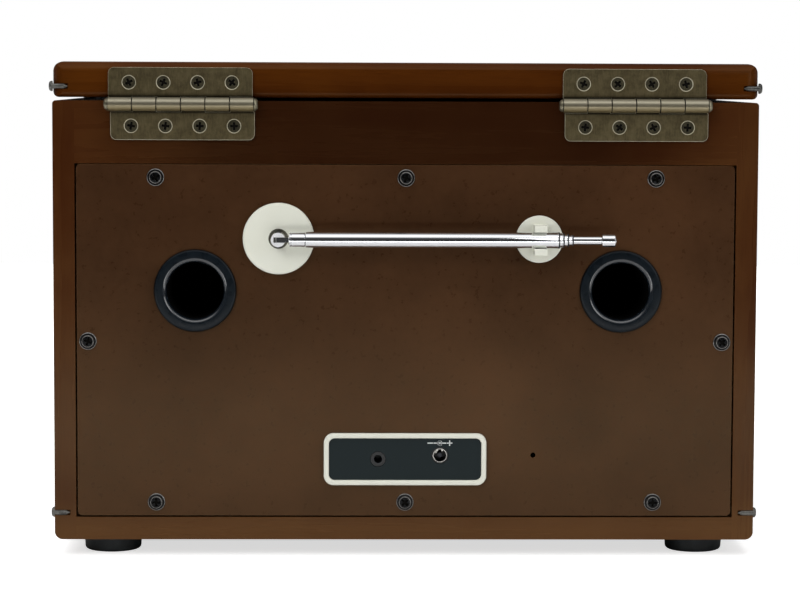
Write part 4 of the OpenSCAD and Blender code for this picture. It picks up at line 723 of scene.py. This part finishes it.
# ---------------------------------------------------------------- keys
# Five ivory keys, each printed with its plain sign, over small switches on a
# board, and a smoked window for the display beside them.
key_ivory = ivory("key_ivory_abs", "#dedcca", "#d5d2bb", 0.36)
key_ink = mottled("pad_printed_brown", "#3a2a1c", 0.55, 0.0, (3500, 2), ("#2e2016", "#4a3726"),
                  Specular_IOR_Level=0.3)
arrow = ((-0.5, -0.5), (0.5, 0), (-0.5, 0.5))
bar = ((-0.12, -0.5), (0.12, -0.5), (0.12, 0.5), (-0.12, 0.5))
square = ((-0.45, -0.45), (0.45, -0.45), (0.45, 0.45), (-0.45, 0.45))
dash = ((-0.4, -0.09), (0.4, -0.09), (0.4, 0.09), (-0.4, 0.09))
# each sign is a list of outlines with an offset along the key and a direction
signs = {"play": ((arrow, -0.9, 1), (bar, 0.45, 1), (bar, 1.0, 1)), "stop": ((square, 0, 1),),
         "mode": ((dash, 0, 1),), "back": ((bar, -0.95, 1), (arrow, -0.25, -1), (arrow, 0.75, -1)),
         "next": ((arrow, -0.75, 1), (arrow, 0.25, 1), (bar, 0.95, 1))}
for key, outlines in signs.items():
    soften("key_" + key, key + "_key", 0.0003, [key_ivory])
    low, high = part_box("key_" + key)
    middle = (low + high) / 2
    size = 0.0036
    shape = bmesh.new()
    for outline, along, hand in outlines:
        # the deck is read from the front, so a sign's right is +X and its top is +Y
        rim = [(middle.x + (x * hand + along) * size, middle.y + y * size) for x, y in outline]
        top = [shape.verts.new((x, y, high.z + ink_t)) for x, y in rim]
        under = [shape.verts.new((x, y, high.z - ink_t)) for x, y in rim]
        shape.faces.new(top)
        shape.faces.new(under[::-1])
        for k in range(len(rim)):
            shape.faces.new((top[k], under[k], under[(k + 1) % len(rim)], top[(k + 1) % len(rim)]))
    bmesh.ops.recalc_face_normals(shape, faces=shape.faces)
    stand_print(key + "_sign", shape, key_ink, key + "_key")

smoked, tree, shader = material("smoked_acrylic", "#0a1413", 0.08, 0.0, IOR=1.49, Specular_IOR_Level=0.5)
place = put(tree, "ShaderNodeTexCoord").outputs["Object"]
scratch = put(tree, "ShaderNodeTexNoise", inputs={"Vector": place, "Scale": 1200, "Detail": 4})
haze = put(tree, "ShaderNodeMapRange", inputs={0: scratch.outputs[0], 1: 0.4, 2: 0.8, 3: 0.05, 4: 0.2})
tree.links.new(haze.outputs[0], shader.inputs["Roughness"])
soften("display_window", "body", 0.0003, [smoked])

lens_blue = mottled("coated_pickup_lens", "#5b6fb8", 0.05, 0.0, (300, 2), ("#4a5cab", "#7a6fc4"),
                    IOR=1.52)
paint("pickup_lens", lens_blue)

# ---------------------------------------------------------------- boards
# Glass-fibre boards under green solder mask, with tinned tracks showing through.
# The main one carries an aluminium heat sink, a tuning capacitor and small parts.
board_green, tree, shader = material("solder_masked_board", "#1b4a2a", 0.35, 0.0, Specular_IOR_Level=0.4)
place = put(tree, "ShaderNodeTexCoord").outputs["Object"]
tracks = put(tree, "ShaderNodeTexBrick", inputs={"Vector": place, "Scale": 260, "Mortar Size": 0.09,
             "Color1": linear("#1c4d2c"), "Color2": linear("#1f5531"), "Mortar": linear("#2f6e3d")})
tree.links.new(tracks.outputs[0], shader.inputs["Base Color"])
sink_alloy, tree, shader = material("black_anodised_sink", "#1d1e20", 0.45, 0.6)
place = put(tree, "ShaderNodeTexCoord").outputs["Object"]
draw = put(tree, "ShaderNodeMapping", inputs={"Vector": place, "Scale": (1, 0.05, 1)})
lines = put(tree, "ShaderNodeTexNoise", inputs={"Vector": draw.outputs[0], "Scale": 2000, "Detail": 2})
tone = put(tree, "ShaderNodeMix", {"data_type": "RGBA"},
           {0: lines.outputs[0], 6: linear("#17181a"), 7: linear("#2c2e31")})
tree.links.new(tone.outputs[2], shader.inputs["Base Color"])
sleeve_blue = mottled("capacitor_sleeve_vinyl", "#1d2c55", 0.3, 0.0, (800, 2), ("#182546", "#243766"),
                      Specular_IOR_Level=0.5)
board_low, pillars_and_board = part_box("circuit_board")[0], 0.0096
board_top = board_low.z + pillars_and_board


def board_coat(middle, normal):
    """Mask on the board and its pillars, sleeves right of the sink, the sink's alloy left."""
    if middle.z < board_top + 0.0001:
        return 0
    return 1 if middle.x < 0 else 2


soften("circuit_board", "body", 0.0002, [board_green, sink_alloy, sleeve_blue],
       choose=board_coat)
soften("key_board", "body", 0.0002, [board_green, deck_black],
       choose=lambda middle, normal: 1 if middle.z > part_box("key_board")[0].z + 0.0017
       and abs(normal.z) < 0.9 else 0)

scatter, sizes = new_tree("small_board_parts", (("Length", "Float"), ("Width", "Float"), ("Spacing", "Float"),
                          ("Part", "Float"), ("Seed", "Int"), ("Start", "Vector"), ("Finish", "Material")))
ground = put(scatter, "GeometryNodeMeshGrid", inputs={0: sizes["Length"], 1: sizes["Width"], 2: 2, 3: 2})
spots = put(scatter, "GeometryNodeDistributePointsOnFaces", {"distribute_method": "POISSON"},
            {"Mesh": ground.outputs[0], "Distance Min": sizes["Spacing"], "Density Max": 40000.0,
             "Seed": sizes["Seed"]})
barrel = put(scatter, "GeometryNodeMeshCylinder", inputs={"Vertices": 10, "Radius": 0.0011,
             "Depth": sizes["Part"]})
lying = put(scatter, "GeometryNodeTransform", inputs={0: barrel.outputs[0], "Translation": (0, 0, 0.001),
            "Rotation": (0, math.radians(90), 0)})
lead = put(scatter, "GeometryNodeMeshCylinder", inputs={"Vertices": 6, "Radius": 0.0003, "Depth": 0.0085})
flat = put(scatter, "GeometryNodeTransform", inputs={0: lead.outputs[0], "Translation": (0, 0, 0.001),
           "Rotation": (0, math.radians(90), 0)})
both = put(scatter, "GeometryNodeJoinGeometry", inputs={0: lying.outputs[0]})
scatter.links.new(flat.outputs[0], both.inputs[0])
quarter = put(scatter, "FunctionNodeRandomValue", {"data_type": "INT"}, {4: 0, 5: 1, "Seed": sizes["Seed"]})
turn = put(scatter, "ShaderNodeMath", {"operation": "MULTIPLY"}, {0: quarter.outputs[2], 1: math.pi / 2})
facing = put(scatter, "ShaderNodeCombineXYZ", inputs={2: turn.outputs[0]})
stand = put(scatter, "GeometryNodeInstanceOnPoints", inputs={"Points": spots.outputs[0],
            "Instance": both.outputs[0], "Rotation": facing.outputs[0]})
laid = put(scatter, "GeometryNodeTransform", inputs={0: stand.outputs[0], "Translation": sizes["Start"]})
finish_tree(scatter, laid.outputs[0], sizes["Finish"])
film, tree, shader = material("dipped_resistor_lacquer", "#b59a6b", 0.4, 0.0, Specular_IOR_Level=0.5)
place = put(tree, "ShaderNodeTexCoord").outputs["Object"]
patch = put(tree, "ShaderNodeTexVoronoi", inputs={"Vector": place, "Scale": 120})
tone = put(tree, "ShaderNodeMix", {"data_type": "RGBA"},
           {0: patch.outputs[0], 6: linear("#8f7a52"), 7: linear("#c9b78e")})
tree.links.new(tone.outputs[2], shader.inputs["Base Color"])
grow("board_resistors", scatter, {"Length": 0.05, "Width": 0.028, "Spacing": 0.0092, "Part": 0.0055,
     "Seed": 7, "Start": (-0.026, board_low.y + 0.018, board_top), "Finish": film}, "body")

# ---------------------------------------------------------------- front
# The front is the same sprayed board as the back, cut out for two stacks of
# slots, with woven cloth behind them and the loudspeakers behind the cloth.
front_coat = sprayed_board("sprayed_front_board", "#42260f", "#5b371a")
# its eased edges take the back panel's painted highlight
soften("front_panel", "body", 0.0008, [front_coat, panel_edge_highlight], 3)

basket_black = mottled("black_baked_enamel", "#141517", 0.4, 0.0, (600, 2), relief=(0.2, 0.00004),
                       Specular_IOR_Level=0.4)
paint("driver_frames", basket_black)

cone_paper = mottled("pressed_cone_paper", "#17171a", 0.85, 0.0, (1400, 4), ("#121214", "#242428"),
                     Specular_IOR_Level=0.2)
paint("driver_cones", cone_paper)

lamp_red = mottled("red_lamp_acrylic", "#a01c12", 0.2, 0.0, (700, 2), ("#94170e", "#c02a1c"), IOR=1.49)
paint("power_lamp", lamp_red)

# ---------------------------------------------------------------- dial and knobs
# A cream-lacquered dial printed with a tuning scale, and three fluted ivory
# knobs, each with a printed line. The small knobs have a scale on the board.
dial_cream = mottled("cream_dial_lacquer", "#e2dcc0", 0.32, 0.0, (45, 4), ("#e6e1c8", "#d6cda9"),
                     Specular_IOR_Level=0.45)
soften("dial_plate", "body", 0.0002, [dial_cream])
for node, body in (("tuning_knob", "tuning"), ("volume_knob", "volume"), ("function_knob", "function")):
    soften(node, body, 0.0002, [key_ivory])

ticks, sizes = new_tree("printed_scale", (("Count", "Int"), ("Radius", "Float"), ("From", "Float"),
                        ("Step", "Float"), ("Length", "Float"), ("Width", "Float"), ("Long Every", "Float"),
                        ("Centre", "Vector"), ("Finish", "Material")))
spots = put(ticks, "GeometryNodePoints", inputs={"Count": sizes["Count"]})
number = put(ticks, "GeometryNodeInputIndex").outputs[0]
angle = put(ticks, "ShaderNodeMath", {"operation": "MULTIPLY_ADD"},
            {0: number, 1: sizes["Step"], 2: sizes["From"]}).outputs[0]
cosine = put(ticks, "ShaderNodeMath", {"operation": "COSINE"}, {0: angle})
sine = put(ticks, "ShaderNodeMath", {"operation": "SINE"}, {0: angle})
outward = put(ticks, "ShaderNodeCombineXYZ", inputs={0: cosine.outputs[0], 2: sine.outputs[0]})
arm = put(ticks, "ShaderNodeVectorMath", {"operation": "SCALE"},
          {0: outward.outputs[0], 3: sizes["Radius"]})
ringed = put(ticks, "GeometryNodeSetPosition", inputs={"Geometry": spots.outputs[0],
             "Position": arm.outputs[0]})
slab = put(ticks, "ShaderNodeCombineXYZ", inputs={0: sizes["Length"], 1: 2 * ink_t, 2: sizes["Width"]})
mark = put(ticks, "GeometryNodeMeshCube", inputs={"Size": slab.outputs[0]})
back_turn = put(ticks, "ShaderNodeMath", {"operation": "MULTIPLY"}, {0: angle, 1: -1.0})
facing = put(ticks, "ShaderNodeCombineXYZ", inputs={1: back_turn.outputs[0]})
rest = put(ticks, "ShaderNodeMath", {"operation": "FLOORED_MODULO"}, {0: number, 1: sizes["Long Every"]})
long_one = put(ticks, "ShaderNodeMath", {"operation": "LESS_THAN"}, {0: rest.outputs[0], 1: 0.5})
stretch = put(ticks, "ShaderNodeMath", {"operation": "MULTIPLY_ADD"},
              {0: long_one.outputs[0], 1: 0.7, 2: 1.0})
thick = put(ticks, "ShaderNodeMath", {"operation": "MULTIPLY_ADD"},
            {0: long_one.outputs[0], 1: 0.6, 2: 1.0})
grown = put(ticks, "ShaderNodeCombineXYZ", inputs={0: stretch.outputs[0], 1: 1.0, 2: thick.outputs[0]})
marks = put(ticks, "GeometryNodeInstanceOnPoints", inputs={"Points": ringed.outputs[0],
            "Instance": mark.outputs[0], "Rotation": facing.outputs[0], "Scale": grown.outputs[0]})
laid = put(ticks, "GeometryNodeTransform", inputs={0: marks.outputs[0], "Translation": sizes["Centre"]})
finish_tree(ticks, laid.outputs[0], sizes["Finish"])

dial_x, dial_z = centre_of("dial_plate")
dial_at = (dial_x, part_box("dial_plate")[0].y, dial_z)
# 55 marks over 270 degrees, from low on the left, clockwise as seen from the front
grow("dial_scale", ticks, {"Count": 55, "Radius": 0.0375, "From": math.radians(225), "Step": math.radians(-5),
     "Length": 0.0018, "Width": 0.00035, "Long Every": 9.0, "Centre": dial_at,
     "Finish": key_ink}, "body")
grow("dial_inner_scale", ticks, {"Count": 28, "Radius": 0.0225, "From": math.radians(225),
     "Step": math.radians(-10), "Length": 0.0013, "Width": 0.0003, "Long Every": 9.0,
     "Centre": dial_at, "Finish": key_ink}, "body")


def print_numbers(name, values, radius, size, centre, body):
    """Prints numbers upright on a ring that faces the front, 270 degrees clockwise."""
    shape = bmesh.new()
    for k, value in enumerate(values):
        words = bpy.data.curves.new(name, "FONT")
        words.body = str(value)
        words.size = size
        words.align_x = words.align_y = "CENTER"
        words.extrude = ink_t
        words.resolution_u = 3
        draft = bpy.data.objects.new(name, words)
        scene.collection.objects.link(draft)
        flat = plain_mesh(draft)
        turn = math.radians(225 - 270 * k / (len(values) - 1))
        spot = Vector((math.cos(turn) * radius, 0, math.sin(turn) * radius)) + Vector(centre)
        flat.transform(Matrix.Translation(spot) @ Matrix.Rotation(math.radians(90), 4, "X"))
        shape.from_mesh(flat)
    bmesh.ops.remove_doubles(shape, verts=shape.verts, dist=1e-7)
    stand_print(name, shape, key_ink, body)


print_numbers("dial_numbers", (88, 92, 96, 100, 104, 106, 108), 0.0323, 0.0044,
              dial_at, "body")
print_numbers("dial_inner_numbers", (53, 80, 110, 160), 0.0265, 0.0031, dial_at, "body")

board_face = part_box("front_panel")[0].y
straw_ink = mottled("pad_printed_straw", "#b9a574", 0.55, 0.0, (3500, 2), ("#a38f60", "#cdbb8d"),
                    Specular_IOR_Level=0.3)
for node, body, count, first, step in (("volume_knob", "volume", 11, 240, -30),
                                       ("function_knob", "function", 3, 135, -45),
                                       ("tuning_knob", "tuning", 0, 90, 0)):
    low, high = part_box(node)
    (x, z), reach = centre_of(node), (high.x - low.x) / 2
    if count:
        grow(node + "_scale", ticks, {"Count": count, "Radius": reach + 0.0026, "From": math.radians(first),
             "Step": math.radians(step), "Length": 0.0016, "Width": 0.0005,
             "Long Every": 5.0 if count > 3 else 1.0, "Centre": (x, board_face, z), "Finish": straw_ink},
             "body")
    grow(node + "_line", ticks, {"Count": 1, "Radius": reach - 0.0036, "From": math.radians(first),
         "Step": 0.0, "Length": 0.0017, "Width": 0.0006, "Long Every": 1.0,
         "Centre": (x, low.y, z), "Finish": key_ink}, body)

# ---------------------------------------------------------------- grille cloth
# Plain-woven cotton in straw and brown threads, stretched behind the slots and
# glued at its rim. The threads are drawn 1.1 mm apart, coarse enough to show.
cloth, tree, shader = material("woven_grille_cotton", "#8a7448", 0.9, 0.0, Specular_IOR_Level=0.1,
                               Sheen_Weight=0.2)
place = put(tree, "ShaderNodeTexCoord").outputs["Object"]
warp = put(tree, "ShaderNodeTexWave", {"bands_direction": "X"}, {"Vector": place, "Scale": 145})
weft = put(tree, "ShaderNodeTexWave", {"bands_direction": "Z"}, {"Vector": place, "Scale": 145})
weave = put(tree, "ShaderNodeMath", {"operation": "MULTIPLY"}, {0: warp.outputs[1], 1: weft.outputs[1]})
slub = put(tree, "ShaderNodeTexNoise", inputs={"Vector": place, "Scale": 500, "Detail": 3})
mixed = put(tree, "ShaderNodeMix", {"data_type": "RGBA"},
            {0: weave.outputs[0], 6: linear("#4b3b20"), 7: linear("#a58e5d")})
aged = put(tree, "ShaderNodeMapRange", inputs={0: slub.outputs[0], 1: 0.3, 2: 0.8, 4: 0.5})
dyed = put(tree, "ShaderNodeMix", {"data_type": "RGBA"},
           {0: aged.outputs[0], 6: mixed.outputs[2], 7: linear("#8a7448")})
tree.links.new(dyed.outputs[2], shader.inputs["Base Color"])
relief = put(tree, "ShaderNodeBump", inputs={"Strength": 0.7, "Distance": 0.0002,
             "Height": weave.outputs[0]})
tree.links.new(relief.outputs[0], shader.inputs["Normal"])
cloth_low, cloth_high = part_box("grille_cloths")
cloth_w, cloth_off, most_sag, thread_thickness = 0.078, 0.00015, 0.0003, 0.0004
for hand, left in (("right", cloth_low.x), ("left", cloth_high.x - cloth_w)):
    grid_x, grid_z = 40, 64
    points, faces = [], []
    for k in range(grid_z + 1):
        for i in range(grid_x + 1):
            a, b = i / grid_x, k / grid_z
            # the tension draws the middle in by a few tenths of a millimetre
            sag = most_sag * math.sin(math.pi * a) * math.sin(math.pi * b)
            points.append((left + cloth_w * a, cloth_low.y + cloth_off + sag,
                           cloth_low.z + (cloth_high.z - cloth_low.z) * b))
    for k in range(grid_z):
        for i in range(grid_x):
            p = k * (grid_x + 1) + i
            faces.append((p, p + 1, p + grid_x + 2, p + grid_x + 1))
    mesh = bpy.data.meshes.new("grille_cloth_" + hand)
    mesh.from_pydata(points, [], faces)
    mesh.materials.append(cloth)
    mesh.shade_smooth()
    sheet = bpy.data.objects.new("grille_cloth_" + hand, mesh)
    scene.collection.objects.link(sheet)
    thick = sheet.modifiers.new("thread_thickness", "SOLIDIFY")
    thick.thickness = thread_thickness
    thick.offset = -1
    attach(sheet, "body")
    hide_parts("grille_cloths")

# ---------------------------------------------------------------- floor and light
# A pale table that ends under the camera, a large soft lamp over each shoulder, one
# overhead, one at the front, a low strip that lifts the foot of the back, and a high
# strip. The polished parts mirror the strips and the fill lamp alone.
floor_mesh = bpy.data.meshes.new("floor")
floor_mesh.from_pydata([(-1.7, -1.7, 0), (1.7, -1.7, 0), (1.7, 0.58, 0), (-1.7, 0.58, 0)], [],
                       [(0, 1, 2, 3)])
floor = bpy.data.objects.new("floor", floor_mesh)
scene.collection.objects.link(floor)
floor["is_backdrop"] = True
floor_white = bpy.data.materials.new("pale_floor")
floor_white.use_nodes = True
tree = floor_white.node_tree
tree.nodes.clear()
seen = put(tree, "ShaderNodeLightPath")
matt = put(tree, "ShaderNodeBsdfDiffuse", inputs={"Color": (0.86, 0.86, 0.86, 1)})
# the camera sees the table lifted almost to white
table_lift = 0.66
lift = put(tree, "ShaderNodeMath", {"operation": "MULTIPLY"},
           {0: seen.outputs["Is Camera Ray"], 1: table_lift})
glow = put(tree, "ShaderNodeEmission", inputs={"Color": (1, 1, 1, 1), "Strength": lift.outputs[0]})
total = put(tree, "ShaderNodeAddShader", inputs={0: matt.outputs[0], 1: glow.outputs[0]})
under = put(tree, "ShaderNodeNewGeometry")
clear = put(tree, "ShaderNodeBsdfTransparent")
one_sided = put(tree, "ShaderNodeMixShader",
                inputs={0: under.outputs["Backfacing"], 1: total.outputs[0], 2: clear.outputs[0]})
put(tree, "ShaderNodeOutputMaterial", inputs={"Surface": one_sided.outputs[0]})
floor_mesh.materials.append(floor_white)


def lamp(name, place, target, width, height, watts, mirrored=True):
    """A soft rectangular lamp that the camera doesn't see, nor, unless mirrored, a polished face."""
    data = bpy.data.lights.new(name, "AREA")
    data.shape = "RECTANGLE"
    data.size, data.size_y, data.energy = width, height, watts
    thing = bpy.data.objects.new(name, data)
    thing.location = place
    thing.rotation_euler = (Vector(target) - Vector(place)).to_track_quat("-Z", "Y").to_euler()
    thing.visible_camera = False
    thing.visible_glossy = mirrored
    scene.collection.objects.link(thing)


lamp("key_lamp", (1.3, 1.9, 1.5), (0, 0, 0.1), 1.4, 1.0, 22, mirrored=False)
lamp("fill_lamp", (-1.6, 1.7, 0.9), (0, 0, 0.1), 1.2, 1.2, 10)
lamp("low_strip", (0, 0.47, 0.018), (0, 0.12, 0.09), 0.9, 0.03, 0.3)
lamp("high_strip", (0, 0.75, 1.2), (0, 0.12, 0.15), 2.0, 0.15, 1.6)
lamp("top_lamp", (0, 0.1, 2.2), (0, 0, 0), 1.6, 1.6, 22, mirrored=False)
lamp("front_lamp", (0.4, -2.0, 1.4), (0, 0, 0.1), 1.6, 1.2, 26, mirrored=False)

world = bpy.data.worlds.new("studio")
scene.world = world
world.use_nodes = True
tree = world.node_tree
tree.nodes.clear()
room_light, far_wall = 0.42, 0.22
seen = put(tree, "ShaderNodeLightPath")
direct = put(tree, "ShaderNodeMath", {"operation": "MAXIMUM"},
             {0: seen.outputs["Is Camera Ray"], 1: seen.outputs["Is Transmission Ray"]})
# on the camera's side the room is dark below 25 degrees and full above 55; the camera sees it white
place = put(tree, "ShaderNodeTexCoord").outputs["Generated"]
toward = put(tree, "ShaderNodeSeparateXYZ", inputs={0: place})
climb = put(tree, "ShaderNodeMapRange", {"interpolation_type": "SMOOTHSTEP"},
            {0: toward.outputs[2], 1: 0.42, 2: 0.82, 3: 0.04, 4: 1.0})
room_side = put(tree, "ShaderNodeMapRange", inputs={0: toward.outputs[1], 1: -0.2, 2: 0.2})
wall = put(tree, "ShaderNodeMix", {"data_type": "FLOAT"},
           {0: room_side.outputs[0], 2: far_wall, 3: climb.outputs[0]})
soft = put(tree, "ShaderNodeMath", {"operation": "MULTIPLY"}, {0: wall.outputs[0], 1: room_light})
strength = put(tree, "ShaderNodeMix", {"data_type": "FLOAT"},
               {0: seen.outputs["Is Glossy Ray"], 2: soft.outputs[0], 3: wall.outputs[0]})
white = put(tree, "ShaderNodeMix", {"data_type": "FLOAT"},
            {0: direct.outputs[0], 2: strength.outputs[0], 3: 1.0})
light = put(tree, "ShaderNodeBackground", inputs={"Color": (1, 1, 1, 1), "Strength": white.outputs[0]})
put(tree, "ShaderNodeOutputWorld", inputs={"Surface": light.outputs[0]})

low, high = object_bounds()
